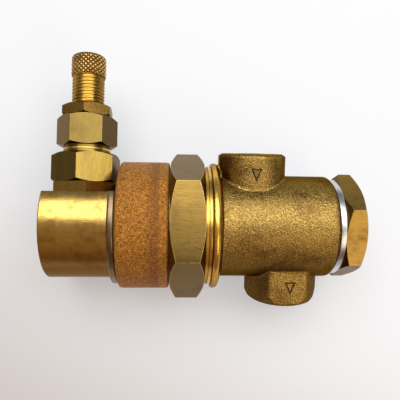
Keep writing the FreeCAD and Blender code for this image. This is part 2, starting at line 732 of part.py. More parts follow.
def jam_nut():
    body = new_body("jam_nut")
    pilot_hexagon(body, "jam_nut_flats", "0", "jam_nut_height", "jam_nut_turn")
    bore = "stub_radius + thread_gap"
    turned(body, [("0", "0"), ("0", bore), ("jam_nut_height", bore), ("jam_nut_height", "0")],
           cut=True, upright=True)
    place_on_pilot(body, "cap_flat_height")


def pilot_body():
    body = new_body("pilot_body")
    pilot_hexagon(body, "pilot_flats", "0", "pilot_hex_height", "pilot_turn")
    neck_end = "gasket_start - pilot_start"
    top = f"{neck_end} + pilot_thread_height"
    turned(body, [("-stub_length", "0"), ("-stub_length", "stub_radius"), ("0", "stub_radius"),
                  ("0", "pilot_neck_radius"), (neck_end, "pilot_neck_radius"),
                  (neck_end, "pilot_thread_radius"), (top, "pilot_thread_radius"), (top, "0")], upright=True)
    chamber_top = "ball_seat_height + ball_chamber_depth"
    turned(body, [("-stub_length", "0"), ("-stub_length", "feed_radius"), ("ball_seat_height", "feed_radius"),
                  ("ball_seat_height", "ball_chamber_radius"), (chamber_top, "ball_chamber_radius"),
                  (chamber_top, "spring_chamber_radius"), (top, "spring_chamber_radius"), (top, "0")],
           cut=True, upright=True)
    drill(body, "XZ_Plane", "0", f"{neck_end} - pilot_neck_height / 2", "vent_radius",
          "-spring_chamber_radius / 2")
    place_on_pilot(body, "pilot_start")


def pilot_gasket():
    body = new_body("pilot_gasket")
    tube(body, "0", "pilot_gasket_thickness", "pilot_thread_radius + thread_gap", "pilot_gasket_radius", upright=True)
    place_on_pilot(body, "gasket_start")


def pilot_housing():
    body = new_body("pilot_housing")
    pilot_hexagon(body, "housing_flats", "housing_collar_height", "housing_hex_height", "housing_turn")
    turned(body, [("0", "0"), ("0", "housing_collar_radius"), ("housing_collar_height", "housing_collar_radius"),
                  ("housing_collar_height", "0")], upright=True)
    socket, bore = "pilot_thread_radius + thread_gap", "adjuster_radius + thread_gap"
    top = "housing_collar_height + housing_hex_height"
    turned(body, [("0", "0"), ("0", socket), ("housing_socket_depth", socket), ("housing_socket_depth", bore),
                  (top, bore), (top, "0")], cut=True, upright=True)
    place_on_pilot(body, "housing_start")


def lock_nut():
    body = new_body("lock_nut")
    pilot_hexagon(body, "lock_nut_flats", "0", "lock_nut_height", "lock_nut_turn")
    bore = "adjuster_radius + thread_gap"
    turned(body, [("0", "0"), ("0", bore), ("lock_nut_height", bore), ("lock_nut_height", "0")],
           cut=True, upright=True)
    place_on_pilot(body, "nut_start")


def adjuster():
    body = new_body("adjuster")
    knob_start = "adjuster_hidden + adjuster_shown"
    knob_end = f"{knob_start} + knob_height"
    turned(body, [("0", "adjuster_bore_radius"), ("0", "adjuster_radius"), (knob_start, "adjuster_radius"),
                  (knob_start, "knob_radius"), (f"{knob_end} - knob_chamfer", "knob_radius"),
                  (knob_end, "knob_radius - knob_chamfer"), (knob_end, "0"), ("adjuster_bore_depth", "0"),
                  ("adjuster_bore_depth", "adjuster_bore_radius")], upright=True)
    place_on_pilot(body, "adjuster_start")


def spring_cup():
    body = new_body("spring_cup")
    turned(body, [("-button_spigot_height", "0"), ("-button_spigot_height", "button_spigot_radius"),
                  ("0", "button_spigot_radius"), ("0", "cup_radius"), ("cup_height", "cup_radius"),
                  ("cup_height", "0")], upright=True)
    place_on_pilot(body, "spring_head")


def spring_button():
    body = new_body("spring_button")
    flange_end = "button_pin_height + button_flange_height"
    turned(body, [("0", "0"), ("0", "button_pin_radius"), ("button_pin_height", "button_pin_radius"),
                  ("button_pin_height", "button_flange_radius"), (flange_end, "button_flange_radius"),
                  (flange_end, "button_spigot_radius"),
                  (f"{flange_end} + button_spigot_height", "button_spigot_radius"),
                  (f"{flange_end} + button_spigot_height", "0")], upright=True)
    place_on_pilot(body, "button_start")


def pilot_ball():
    ball = doc.addObject("Part::Sphere", "pilot_ball")
    ball.Label = "pilot_ball"
    ball.setExpression("Radius", bound("ball_radius"))
    nodes.append(ball)
    place_on_pilot(ball, "ball_centre")


def springs():
    along_x = FreeCAD.Placement(FreeCAD.Vector(), FreeCAD.Rotation(FreeCAD.Vector(0, 1, 0), 90))
    return_spring = coil("unloader_spring", "web_face - crown_end", "return_coil_radius",
                         "return_wire_radius", "return_coil_turns")
    return_spring.Placement = along_x
    return_spring.setExpression("Placement.Base.x", bound("crown_end"))
    check_spring = coil("check_spring", "plug_seat - check_back", "check_coil_radius",
                        "check_wire_radius", "check_coil_turns")
    check_spring.Placement = along_x
    check_spring.setExpression("Placement.Base.x", bound("check_back"))
    pilot_spring = coil("pilot_spring", "spring_head - spring_foot", "pilot_coil_radius",
                        "pilot_wire_radius", "pilot_coil_turns")
    place_on_pilot(pilot_spring, "spring_foot")


cylinder_cap()
steel_washer()
silencer_ring()
bonnet()
bonnet_gasket()
exhaust_seat()
unloader_piston()
unloader_stem()
seal_cord("piston_seal", "cylinder_radius - ring_gap - piston_ring_section", "piston_ring_section",
          "piston_start + crown_thickness / 2")
seal_cord("stem_seal", "stem_radius + ring_gap + stem_ring_section", "stem_ring_section",
          "web_face + web_thickness / 2")
clamp_nut("piston_nut", "piston_nut_flats", "piston_nut_height", "stem_tip_radius + ring_gap",
          "piston_start - piston_nut_height")
clamp_nut("poppet_nut", "poppet_nut_flats", "poppet_nut_height", "stem_tail_radius + ring_gap", "poppet_end")
seal_disc("exhaust_poppet", "exhaust_seal", "poppet_start", "+", "poppet_radius", "poppet_thickness",
          "stem_tail_radius + ring_gap")
valve_body()
seal_disc("check_disc", "check_seal", "check_start", "-", "check_disc_radius", "check_disc_thickness",
          "stem_tail_radius + sliding_gap", ("check_hub_radius", "check_disc_thickness + check_hub_length"))
end_plug()
plug_washer()
jam_nut()
pilot_body()
pilot_gasket()
pilot_housing()
lock_nut()
adjuster()
spring_cup()
spring_button()
pilot_ball()
springs()
doc.recompute()

failed = [item.Name for item in doc.Objects if {"Invalid", "Error"} & set(item.State)]
failed += [node.Label for node in nodes if node.Shape.isNull() or not node.Shape.isValid()]
if failed:
    raise RuntimeError("these pieces failed: " + ", ".join(failed))

os.makedirs("parts", exist_ok=True)
for node in nodes:
    node.Shape.exportStep(f"parts/{node.Label}.step")
    print(f"{node.Label}: {len(node.Shape.Solids)} solid, {node.Shape.Volume:.1f} mm3")
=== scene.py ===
import json
import math

import bmesh
import bpy
from mathutils import Matrix, Vector, noise

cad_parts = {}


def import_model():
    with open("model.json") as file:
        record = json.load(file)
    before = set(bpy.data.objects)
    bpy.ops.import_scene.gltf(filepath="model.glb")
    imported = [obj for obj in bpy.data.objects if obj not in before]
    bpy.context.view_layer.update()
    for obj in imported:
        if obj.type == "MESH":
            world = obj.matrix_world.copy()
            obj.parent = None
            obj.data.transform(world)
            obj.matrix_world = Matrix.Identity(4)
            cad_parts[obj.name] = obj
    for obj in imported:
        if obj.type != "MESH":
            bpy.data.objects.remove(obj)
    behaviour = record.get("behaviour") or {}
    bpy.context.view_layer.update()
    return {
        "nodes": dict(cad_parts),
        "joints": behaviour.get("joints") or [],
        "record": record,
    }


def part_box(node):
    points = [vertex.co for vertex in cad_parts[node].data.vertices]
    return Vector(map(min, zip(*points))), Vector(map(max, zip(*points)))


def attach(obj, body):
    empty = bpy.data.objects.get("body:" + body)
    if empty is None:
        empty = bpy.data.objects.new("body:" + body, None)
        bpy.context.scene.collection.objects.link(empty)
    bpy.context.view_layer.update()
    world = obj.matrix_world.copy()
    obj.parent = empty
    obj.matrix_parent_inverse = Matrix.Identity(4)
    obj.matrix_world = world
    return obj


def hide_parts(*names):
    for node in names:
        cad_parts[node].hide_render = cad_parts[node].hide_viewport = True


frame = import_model()
nodes = frame["nodes"]
joints = {joint["name"]: joint for joint in frame["joints"]}

# Fineness of the meshes
MM = 0.001
WEDGE_STEPS = 12
SEGMENTS = 180
BORE_SEGMENTS = 96
THREAD_STEPS = 72
ROUNDING_STEPS = 5
FORGED_VOXEL = 0.36 * MM
EDGE_WIDTH = 0.14 * MM
WELD = 1e-7
ON_PLANE = 1e-8
ON_AXIS = 1e-9

# Cap, washer and silencer, in metres
CAP_RADIUS = 19.2 * MM
CAP_FLAT = 10.8 * MM
SPIGOT_RADIUS = 9.4 * MM
SPIGOT_BORE = 9.5 * MM
WASHER_RADIUS = 21.4 * MM
SILENCER_RADIUS = 23.0 * MM
SILENCER_BORE = 15.5 * MM

# Hexagons: width across flats, the turn of each about its axis in degrees, and the radius of the
# circle that its chamfers leave on an end, as a share of the width across flats
BONNET_FLATS = 46 * MM
PLUG_FLATS = 34 * MM
PILOT_FLATS = 22 * MM
HOUSING_FLATS = 19 * MM
LOCK_NUT_FLATS = 17 * MM
PLUG_TURN = 16.7
JAM_NUT_TURN = 39.2
PILOT_TURN = 24.9
HOUSING_TURN = 8.0
LOCK_NUT_TURN = 32.8
CHAMFER_ANGLE = 30
CHAMFER_CIRCLE = 0.4965
JAM_NUT_CIRCLE = 0.55

# Forged body
BARREL_RADIUS = 18.6 * MM
FLANGE_RADIUS = 22.9 * MM
FLANGE_LENGTH = 3.1 * MM
BODY_THREAD = 14.9 * MM
MOUTH_RADIUS = 15 * MM
CHAMBER_RADIUS = 13 * MM
SKIN_GRAIN = 1900
SKIN_WAVES = 500
SKIN_DEPTH = 0.018 * MM
BOSS_FLATS = 24 * MM
INLET_ROUNDING = 9.0 * MM
OUTLET_ROUNDING = 1.0 * MM
INLET_REACH = 26.8 * MM
OUTLET_REACH = 27.5 * MM
DOME_HEIGHT = 3.8 * MM
DOME_WIDTH = 3.2 * MM
TAP_DEPTH = 12 * MM
FACING = 0.12 * MM
PIPE_PITCH = 1.337 * MM
PIPE_DEPTH = 0.75 * MM
ARROW_DEPTH = 0.6 * MM
ARROW_HEIGHT = 4.6 * MM
ARROW_HALF_WIDTH = 2.0 * MM
ARROW_GROOVE = 0.55 * MM
TOOL_LENGTH = 2 * MM

# Adjusting screw and its head
THREAD_RADIUS = 5.9 * MM
THREAD_PITCH = 1.25 * MM
THREAD_DEPTH = 0.55 * MM
KNOB_HEIGHT = 8 * MM
KNOB_RADIUS = 6.35 * MM
KNURL_DEPTH = 0.5 * MM
KNURL_GROOVES = 22
KNURL_SLOPE = 1.1

# A thread's outline over one pitch: how far along it, and how deep
THREAD_OUTLINE = ((0.0, 0.0), (0.14, 0.0), (0.5, 1.0), (0.64, 1.0), (1.0, 0.0))

# Places of the second and third finish on the pieces that have them
WORN_SLOT, COLLAR_SLOT = 1, 2
MACHINED_SLOT, MARK_SLOT = 1, 2

# The floor's own light as the camera and the gloss see it, and the share of its colour that takes light
FLOOR_LIFT = 0.42
FLOOR_SHARE = 0.6

# The photograph's width in pixels
FRAME = 400

# Directions and places taken from the frame
MAIN = Vector((1, 0, 0))
PILOT = Vector(joints["adjuster_turn"]["axis"]).normalized()
PILOT_X = joints["adjuster_turn"]["pos_m"][0]
PORTS = {mount["name"]: mount for mount in frame["record"]["mounts"]}
INLET = Vector(PORTS["inlet_port"]["axis"])
INLET_X = PORTS["inlet_port"]["pos_m"][0]
OUTLET_X = PORTS["outlet_port"]["pos_m"][0]
PORT_RADIUS = PORTS["inlet_port"]["dims"]["r_mm"] * MM


def reach(node, axis=MAIN):
    """How far a CAD node reaches along an axis through the origin, lowest and highest."""
    heights = [vertex.co.dot(axis) for vertex in nodes[node].data.vertices]
    return min(heights), max(heights)


def standing(axis, along):
    """The place of a piece that is modelled along X and stands on the main axis."""
    up = MAIN.cross(axis)
    turn = Matrix((axis, -MAIN, up)).transposed().to_4x4()
    return Matrix.Translation((along, 0, 0)) @ turn


def lathe(outline, steps=SEGMENTS):
    """A turned solid: a closed outline of (along, out) points spun about X, one wedge first and
    then its copies. A third number in a point is the radius that rounds that corner."""
    bm = bmesh.new()
    corners = [bm.verts.new((point[0], 0, point[1])) for point in outline]
    for start, end in zip(corners, corners[1:] + corners[:1]):
        bm.edges.new((start, end))
    for radius in sorted({point[2] for point in outline if len(point) > 2}):
        chosen = [corner for corner, point in zip(corners, outline) if len(point) > 2 and point[2] == radius]
        bmesh.ops.bevel(bm, geom=chosen, offset=radius * 0.8, offset_type="OFFSET", profile=0.5,
                        segments=ROUNDING_STEPS, affect="VERTICES", material=-1)
    on_axis = [edge for edge in bm.edges if all(abs(vertex.co.z) < ON_AXIS for vertex in edge.verts)]
    bmesh.ops.delete(bm, geom=on_axis, context="EDGES_FACES")
    copies = steps // WEDGE_STEPS
    bmesh.ops.spin(bm, geom=bm.verts[:] + bm.edges[:], cent=(0, 0, 0), axis=(1, 0, 0), dvec=(0, 0, 0),
                   angle=math.tau / copies, steps=WEDGE_STEPS)
    bmesh.ops.spin(bm, geom=bm.verts[:] + bm.edges[:] + bm.faces[:], cent=(0, 0, 0), axis=(1, 0, 0),
                   dvec=(0, 0, 0), angle=math.tau * (copies - 1) / copies, steps=copies - 1,
                   use_duplicate=True)
    bmesh.ops.remove_doubles(bm, verts=bm.verts, dist=WELD)
    bmesh.ops.recalc_face_normals(bm, faces=bm.faces)
    return bm


def mill(bm, point, normal):
    """Mill a flat across a solid: all that stands beyond the plane is cut away."""
    cut = bmesh.ops.bisect_plane(bm, geom=bm.verts[:] + bm.edges[:] + bm.faces[:], dist=ON_PLANE,
                                 plane_co=point, plane_no=normal, clear_outer=True)
    rim = [item for item in cut["geom_cut"] if isinstance(item, bmesh.types.BMEdge)]
    bmesh.ops.contextual_create(bm, geom=rim)
    bmesh.ops.recalc_face_normals(bm, faces=bm.faces)


def mill_hexagon(bm, flats, turn=0.0):
    """Mill six flats about X, the first one facing up when the turn is 0 degrees."""
    for side in range(6):
        angle = math.radians(turn + 60 * side)
        normal = Vector((0, -math.sin(angle), math.cos(angle)))
        mill(bm, normal * flats / 2, normal)


def raised_vertices(bm):
    """Extrude all the faces of a flat bmesh, and give back the vertices of the new end."""
    grown = bmesh.ops.extrude_face_region(bm, geom=bm.faces[:])["geom"]
    return [item for item in grown if isinstance(item, bmesh.types.BMVert)]


def hexagon_blank(start, end, flats, circle_share=CHAMFER_CIRCLE):
    """The outline points of a hexagon's turned blank, with its chamfers."""
    corner, circle = flats / math.sqrt(3), flats * circle_share
    depth = (corner - circle) * math.tan(math.radians(CHAMFER_ANGLE))
    return [(start, circle), (start + depth, corner), (end - depth, corner), (end, circle)]


def screw_thread(start, end, crest, depth, pitch, steps=THREAD_STEPS):
    """A male thread along X: one turn of its outline as a helix, then its copies, cut square."""
    turns = math.ceil((end - start) / pitch) + 3
    bm = bmesh.new()
    before = start - pitch * 1.5
    points = [bm.verts.new((before + share * pitch, 0, crest - drop * depth))
              for share, drop in THREAD_OUTLINE]
    for first, second in zip(points, points[1:]):
        bm.edges.new((first, second))
    bmesh.ops.spin(bm, geom=bm.verts[:] + bm.edges[:], cent=(0, 0, 0), axis=(1, 0, 0),
                   dvec=(pitch / steps, 0, 0), angle=math.tau, steps=steps)
    bmesh.ops.spin(bm, geom=bm.verts[:] + bm.edges[:] + bm.faces[:], cent=(0, 0, 0), axis=(1, 0, 0),
                   dvec=(pitch, 0, 0), angle=math.tau * turns, steps=turns, use_duplicate=True)
    bmesh.ops.remove_doubles(bm, verts=bm.verts, dist=pitch * 0.004)
    mill(bm, (start, 0, 0), (-1, 0, 0))
    mill(bm, (end, 0, 0), (1, 0, 0))
    return bm


def piece(name, bm, body, node, edge=EDGE_WIDTH, smooth=25):
    """Turn a finished bmesh into an object that rides on a body. Edges sharper than the angle in
    smooth get a small bevel, or stay sharp where edge is None."""
    mesh = bpy.data.meshes.new(name)
    bm.to_mesh(mesh)
    bm.free()
    made = bpy.data.objects.new(name, mesh)
    bpy.context.scene.collection.objects.link(made)
    mesh.shade_smooth()
    if edge:
        bevel = made.modifiers.new("edges", "BEVEL")
        bevel.width = edge
        bevel.segments = 2
        bevel.limit_method = "ANGLE"
        bevel.angle_limit = math.radians(smooth)
        bevel.harden_normals = True
    else:
        mesh.set_sharp_from_angle(angle=math.radians(smooth))
    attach(made, body)
    if node:
        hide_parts(node)
    return made


# Pieces on the main axis

def cylinder_cap():
    """The turned cup with its milled flat, hollow inside as the CAD's is."""
    start, end = reach("cylinder_cap")
    chamber, floor_place, step = 6.5 * MM, 4.5 * MM, 18.4 * MM
    bm = lathe([(start, 0), (start, CAP_RADIUS, 0.5 * MM), (end, CAP_RADIUS), (end, SPIGOT_BORE),
                (step, SPIGOT_BORE), (step, chamber), (floor_place, chamber), (floor_place, 0)])
    mill(bm, PILOT * CAP_FLAT, PILOT)
    return piece("cap", bm, "valve", "cylinder_cap")


def steel_washer():
    """The thick washer with a rounded rim, milled to the cap's flat."""
    start, end = reach("steel_washer")
    bore, rounding = 9.6 * MM, 1.1 * MM
    bm = lathe([(start, bore), (start, WASHER_RADIUS, rounding), (end, WASHER_RADIUS, rounding), (end, bore)])
    mill(bm, PILOT * CAP_FLAT, PILOT)
    return piece("washer", bm, "valve", "steel_washer")


def silencer_ring():
    """The sintered ring: a fine mesh whose grains stand proud of its surface."""
    start, end = reach("silencer_ring")
    rounding, skin, face_radius = 1.1 * MM, 0.03 * MM, SILENCER_RADIUS - 1.2 * MM
    fine_grain, coarse_grain, grain_depth = 2300, 900, 0.05
    rows = 60
    outline = [(start, SILENCER_BORE), (start, face_radius)]
    for row in range(rows + 1):
        along = start + (end - start) * row / rows
        edge = max(0.0, rounding - min(along - start, end - along))
        drop = rounding - math.sqrt(max(0, rounding ** 2 - edge ** 2))
        outline.append((along, SILENCER_RADIUS - skin - drop))
    outline += [(end, face_radius), (end, SILENCER_BORE)]
    bm = lathe(outline, steps=456)
    for vertex in bm.verts:
        if math.hypot(vertex.co.y, vertex.co.z) > SILENCER_RADIUS - 1.5 * MM:
            grain = noise.noise(vertex.co * fine_grain) + 0.5 * noise.noise(vertex.co * coarse_grain)
            inward = Vector((0, -vertex.co.y, -vertex.co.z)).normalized()
            vertex.co += inward * (grain_depth + grain_depth * grain) * MM
    return piece("silencer", bm, "valve", "silencer_ring", edge=None, smooth=60)


def bonnet():
    """The large hexagon with its spigot, neck and collar, and the web inside it."""
    start, end = reach("bonnet")
    seat, shoulder = reach("silencer_ring")
    gasket = reach("bonnet_gasket")[0]
    hexagon = shoulder + 0.3 * MM
    collar = hexagon + 12 * MM
    bore, stem_hole, neck = 7.5 * MM, 3.05 * MM, 12.5 * MM
    shoulder_radius, collar_radius = 21.0 * MM, 21.3 * MM
    web_start, web_end, step = 31.0 * MM, 34.4 * MM, 44 * MM
    exhaust, seat_bore = 9.5 * MM, 10.0 * MM
    outline = [(start, bore), (start, SPIGOT_RADIUS), (seat, SPIGOT_RADIUS), (seat, neck),
               (shoulder, neck), (shoulder, shoulder_radius), (hexagon, shoulder_radius)]
    outline += hexagon_blank(hexagon, collar, BONNET_FLATS)
    outline += [(collar, collar_radius), (gasket, collar_radius), (gasket, BODY_THREAD), (end, BODY_THREAD),
                (end, seat_bore), (step, seat_bore), (step, exhaust), (web_end, exhaust),
                (web_end, stem_hole), (web_start, stem_hole), (web_start, bore)]
    bm = lathe(outline)
    mill_hexagon(bm, BONNET_FLATS)
    for face in bm.faces:
        if face.calc_center_median().x > collar + 0.01 * MM:
            face.material_index = COLLAR_SLOT
    return piece("bonnet_hexagon", bm, "valve", "bonnet")


def bonnet_gasket():
    """The copper ring between the bonnet's collar and the body's flange."""
    start, end = reach("bonnet_gasket")
    bore, radius, rounding = 15.1 * MM, 21.7 * MM, 0.25 * MM
    bm = lathe([(start, bore), (start, radius, rounding), (end, radius, rounding), (end, bore)])
    return piece("copper_ring", bm, "valve", "bonnet_gasket", edge=None)


def plug_washer():
    """The soft washer under the plug's hexagon."""
    start, end = reach("plug_washer")
    bore, radius, rounding = 15.0 * MM, 17.5 * MM, 0.4 * MM
    bm = lathe([(start, bore), (start, radius, rounding), (end, radius, rounding), (end, bore)])
    return piece("aluminium_ring", bm, "valve", "plug_washer", edge=None)


def end_plug():
    """The hexagon plug, with the recess of the check valve's spring and the stem's guide hole."""
    start, end = reach("end_plug")
    head = reach("plug_washer")[1]
    recess, guide = 8.0 * MM, 2.55 * MM
    recess_floor, guide_floor = start + 3 * MM, start + 9 * MM
    outline = [(start, recess), (start, BODY_THREAD), (head, BODY_THREAD)]
    outline += hexagon_blank(head, end, PLUG_FLATS)
    outline += [(end, 0), (guide_floor, 0), (guide_floor, guide), (recess_floor, guide),
                (recess_floor, recess)]
    bm = lathe(outline)
    mill_hexagon(bm, PLUG_FLATS, PLUG_TURN)
    return piece("plug_hexagon", bm, "valve", "end_plug")


def merged(name, *solids):
    """One mesh object that holds several solids."""
    whole = bmesh.new()
    for solid in solids:
        part = bpy.data.meshes.new("solid")
        solid.to_mesh(part)
        solid.free()
        whole.from_mesh(part)
        bpy.data.meshes.remove(part)
    mesh = bpy.data.meshes.new(name)
    whole.to_mesh(mesh)
    whole.free()
    made = bpy.data.objects.new(name, mesh)
    bpy.context.scene.collection.objects.link(made)
    return made


def applied(made):
    """Apply an object's modifiers to its mesh."""
    bpy.context.view_layer.update()
    graph = bpy.context.evaluated_depsgraph_get()
    mesh = bpy.data.meshes.new_from_object(made.evaluated_get(graph))
    made.modifiers.clear()
    old, made.data = made.data, mesh
    bpy.data.meshes.remove(old)


def combine(made, solid, operation="DIFFERENCE"):
    """Cut a solid's shape out of an object, add it, or keep only what lies inside it."""
    knife = merged("knife", solid)
    boolean = made.modifiers.new("combine", "BOOLEAN")
    boolean.operation = operation
    boolean.solver = "MANIFOLD"
    boolean.object = knife
    applied(made)
    bpy.data.objects.remove(knife)


def boss(name, rounding, axis, along, top):
    """A forged hexagon boss: a prism with rounded corners, cut to a turned dome."""
    corner = BOSS_FLATS / math.sqrt(3)
    prism = bmesh.new()
    bmesh.ops.create_circle(prism, cap_ends=True, segments=6, radius=corner)
    bmesh.ops.bevel(prism, geom=prism.verts[:], offset=rounding * math.tan(math.radians(30)), segments=10,
                    offset_type="OFFSET", profile=0.5, affect="VERTICES", material=-1)
    bmesh.ops.rotate(prism, matrix=Matrix.Rotation(math.radians(90), 3, "Y"), verts=prism.verts)
    bmesh.ops.translate(prism, vec=(top, 0, 0), verts=raised_vertices(prism))
    bmesh.ops.recalc_face_normals(prism, faces=prism.faces)
    dome = lathe([(-MM, 0), (-MM, corner + MM), (top - DOME_HEIGHT, corner + MM), (top - DOME_HEIGHT, corner),
                  (top - 1.1 * MM, corner - 1.3 * MM), (top, corner - DOME_WIDTH), (top, 0)])
    for solid in (prism, dome):
        bmesh.ops.transform(solid, matrix=standing(axis, along), verts=solid.verts)
    made = merged(name, prism)
    combine(made, dome, "INTERSECT")
    return made


def port_tools(top, passage_radius, passage_shift):
    """What makes a port, along X: the facing cut with its chamfer, the tap and the passage drill."""
    mouth, floor_place = top - FACING, top - TAP_DEPTH
    chamfer, swing, above = 1.2 * MM, 15 * MM, mouth + 4 * MM
    drill_start, drill_end = 7 * MM, floor_place + 0.1 * MM
    facing = lathe([(mouth - chamfer, 0), (mouth - chamfer, PORT_RADIUS), (mouth, PORT_RADIUS + chamfer),
                    (mouth, swing), (above, swing), (above, 0)], steps=BORE_SEGMENTS)
    tap = screw_thread(floor_place, mouth + MM, PORT_RADIUS + PIPE_DEPTH, PIPE_DEPTH, PIPE_PITCH,
                       steps=BORE_SEGMENTS)
    drill = lathe([(drill_start, 0), (drill_start, passage_radius), (drill_end, passage_radius),
                   (drill_end, 0)], steps=60)
    bmesh.ops.translate(drill, vec=(0, -passage_shift, 0), verts=drill.verts)
    return facing, tap, drill


def arrow_tool(place, way):
    """The die mark of a flow arrow: a narrow triangular groove that points along X, or back at way -1."""
    bm = bmesh.new()
    bmesh.ops.create_circle(bm, cap_ends=True, segments=3, radius=1)
    tip, side = ARROW_HEIGHT / 2 * way, ARROW_HALF_WIDTH * way
    for vertex, (along, across) in zip(bm.verts, ((tip, 0), (-tip, side), (-tip, -side))):
        vertex.co = (place[0] + along, place[1] + across, 0)
    bmesh.ops.inset_region(bm, faces=bm.faces, thickness=ARROW_GROOVE, use_boundary=True,
                           use_even_offset=True)
    inner = next(face for face in bm.faces if len(face.verts) == 3)
    bmesh.ops.delete(bm, geom=[inner], context="FACES_ONLY")
    bmesh.ops.translate(bm, vec=(0, 0, TOOL_LENGTH), verts=raised_vertices(bm))
    bmesh.ops.translate(bm, vec=(0, 0, place[2]), verts=bm.verts)
    bmesh.ops.recalc_face_normals(bm, faces=bm.faces)
    return bm


def forging(start, end):
    """The blank of the body: barrel, flange and bosses melted together, with a blasted skin."""
    barrel = lathe([(start, 0), (start, FLANGE_RADIUS - 0.5 * MM), (start + 0.5 * MM, FLANGE_RADIUS),
                    (start + 1.8 * MM, FLANGE_RADIUS), (start + 2.5 * MM, FLANGE_RADIUS - 0.7 * MM),
                    (start + FLANGE_LENGTH, FLANGE_RADIUS - 2.2 * MM), (start + 3.4 * MM, BARREL_RADIUS),
                    (end, BARREL_RADIUS, 2.0 * MM), (end, 0)])
    body = merged("forging", barrel)
    for made in (boss("inlet", INLET_ROUNDING, INLET, INLET_X, INLET_REACH),
                 boss("outlet", OUTLET_ROUNDING, -INLET, OUTLET_X, OUTLET_REACH)):
        solid = bmesh.new()
        solid.from_mesh(made.data)
        bpy.data.objects.remove(made)
        combine(body, solid, "UNION")
    remesh = body.modifiers.new("melt", "REMESH")
    remesh.mode = "VOXEL"
    remesh.voxel_size = FORGED_VOXEL
    soften = body.modifiers.new("soften", "SMOOTH")
    soften.factor = 0.5
    soften.iterations = 5
    applied(body)
    outward = [normal.vector.copy() for normal in body.data.vertex_normals]
    for vertex, normal in zip(body.data.vertices, outward):
        skin = noise.noise(vertex.co * SKIN_GRAIN) + 0.3 * noise.noise(vertex.co * SKIN_WAVES)
        vertex.co += normal * (skin - 1.2) * SKIN_DEPTH
    return body


def body_bore(start, end):
    """The stepped bore along the body, with the check valve's seat raised on the partition."""
    hole, seat_radius, past = 6 * MM, 7.2 * MM, MM
    mouth_end, plug_end = start + 9.3 * MM, end - 8 * MM
    wall_start, wall_end, seat_face = start + 19.8 * MM, start + 23.3 * MM, start + 23.7 * MM
    return lathe([(start - past, 0), (start - past, MOUTH_RADIUS), (mouth_end, MOUTH_RADIUS),
                  (mouth_end, CHAMBER_RADIUS), (wall_start, CHAMBER_RADIUS), (wall_start, hole),
                  (seat_face, hole), (seat_face, seat_radius), (wall_end, seat_radius),
                  (wall_end, CHAMBER_RADIUS), (plug_end, CHAMBER_RADIUS), (plug_end, MOUTH_RADIUS),
                  (end + past, MOUTH_RADIUS), (end + past, 0)], steps=BORE_SEGMENTS)


def finish_faces(body, start, ports):
    """Give the flange and the ports the machined finish, and the arrows' grooves their dark brown."""
    for face in body.data.polygons:
        flange = math.hypot(face.center.y, face.center.z) > BARREL_RADIUS + 0.6 * MM
        if flange and face.center.x < start + FLANGE_LENGTH:
            face.material_index = MACHINED_SLOT
    upper = MAIN.cross(INLET)
    slack, half_height, half_width = 0.1 * MM, 2.5 * MM, 3.2 * MM
    for axis, along, top, _, _, arrow, _ in ports:
        for face in body.data.polygons:
            offset = face.center - MAIN * along
            up = offset.dot(axis)
            depth = BOSS_FLATS / 2 - offset.dot(upper)
            near_arrow = abs(up - arrow[0]) < half_height and abs(offset.x) < half_width
            if near_arrow and 2 * slack < depth < ARROW_DEPTH + slack:
                face.material_index = MARK_SLOT
            out = (offset - axis * up).length
            bored = up > top - TAP_DEPTH - slack and out < PORT_RADIUS + PIPE_DEPTH + slack
            if bored or up > top - FACING - 0.02 * MM:
                face.material_index = MACHINED_SLOT


def valve_body():
    """The forging, bored and tapped, with a flow arrow struck into each boss."""
    start, end = reach("valve_body")
    body = forging(start, end)
    combine(body, body_bore(start, end))
    flat = BOSS_FLATS / 2 - ARROW_DEPTH
    inlet_arrow = (19.5 * MM, 0.05 * MM, flat)
    outlet_arrow = (20.5 * MM, -0.9 * MM, -flat - TOOL_LENGTH)
    # Each port: axis, place, height, passage radius and shift, and its arrow's place and way
    ports = ((INLET, INLET_X, INLET_REACH, 4.8 * MM, -0.6 * MM, inlet_arrow, -1),
             (-INLET, OUTLET_X, OUTLET_REACH, 5.2 * MM, 2.1 * MM, outlet_arrow, 1))
    for axis, along, top, radius, shift, arrow, way in ports:
        for tool in (*port_tools(top, radius, shift), arrow_tool(arrow, way)):
            bmesh.ops.transform(tool, matrix=standing(axis, along), verts=tool.verts)
            combine(body, tool)
    finish_faces(body, start, ports)
    body.data.shade_smooth()
    body.data.set_sharp_from_angle(angle=math.radians(40))
    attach(body, "valve")
    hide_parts("valve_body")
    return body


# Pieces on the pilot valve's axis

def on_pilot(bm):
    """Stand a solid that is modelled along X on the pilot valve's axis."""
    bmesh.ops.transform(bm, matrix=standing(PILOT, PILOT_X), verts=bm.verts)
    return bm


def jam_nut():
    """The thin nut on the cap's flat."""
    start, end = reach("jam_nut", PILOT)
    bore = 6.6 * MM
    bm = lathe([(start, bore)] + hexagon_blank(start, end, PILOT_FLATS, JAM_NUT_CIRCLE) + [(end, bore)])
    mill_hexagon(bm, PILOT_FLATS, JAM_NUT_TURN)
    return piece("jam_nut_hexagon", on_pilot(bm), "valve", "jam_nut")


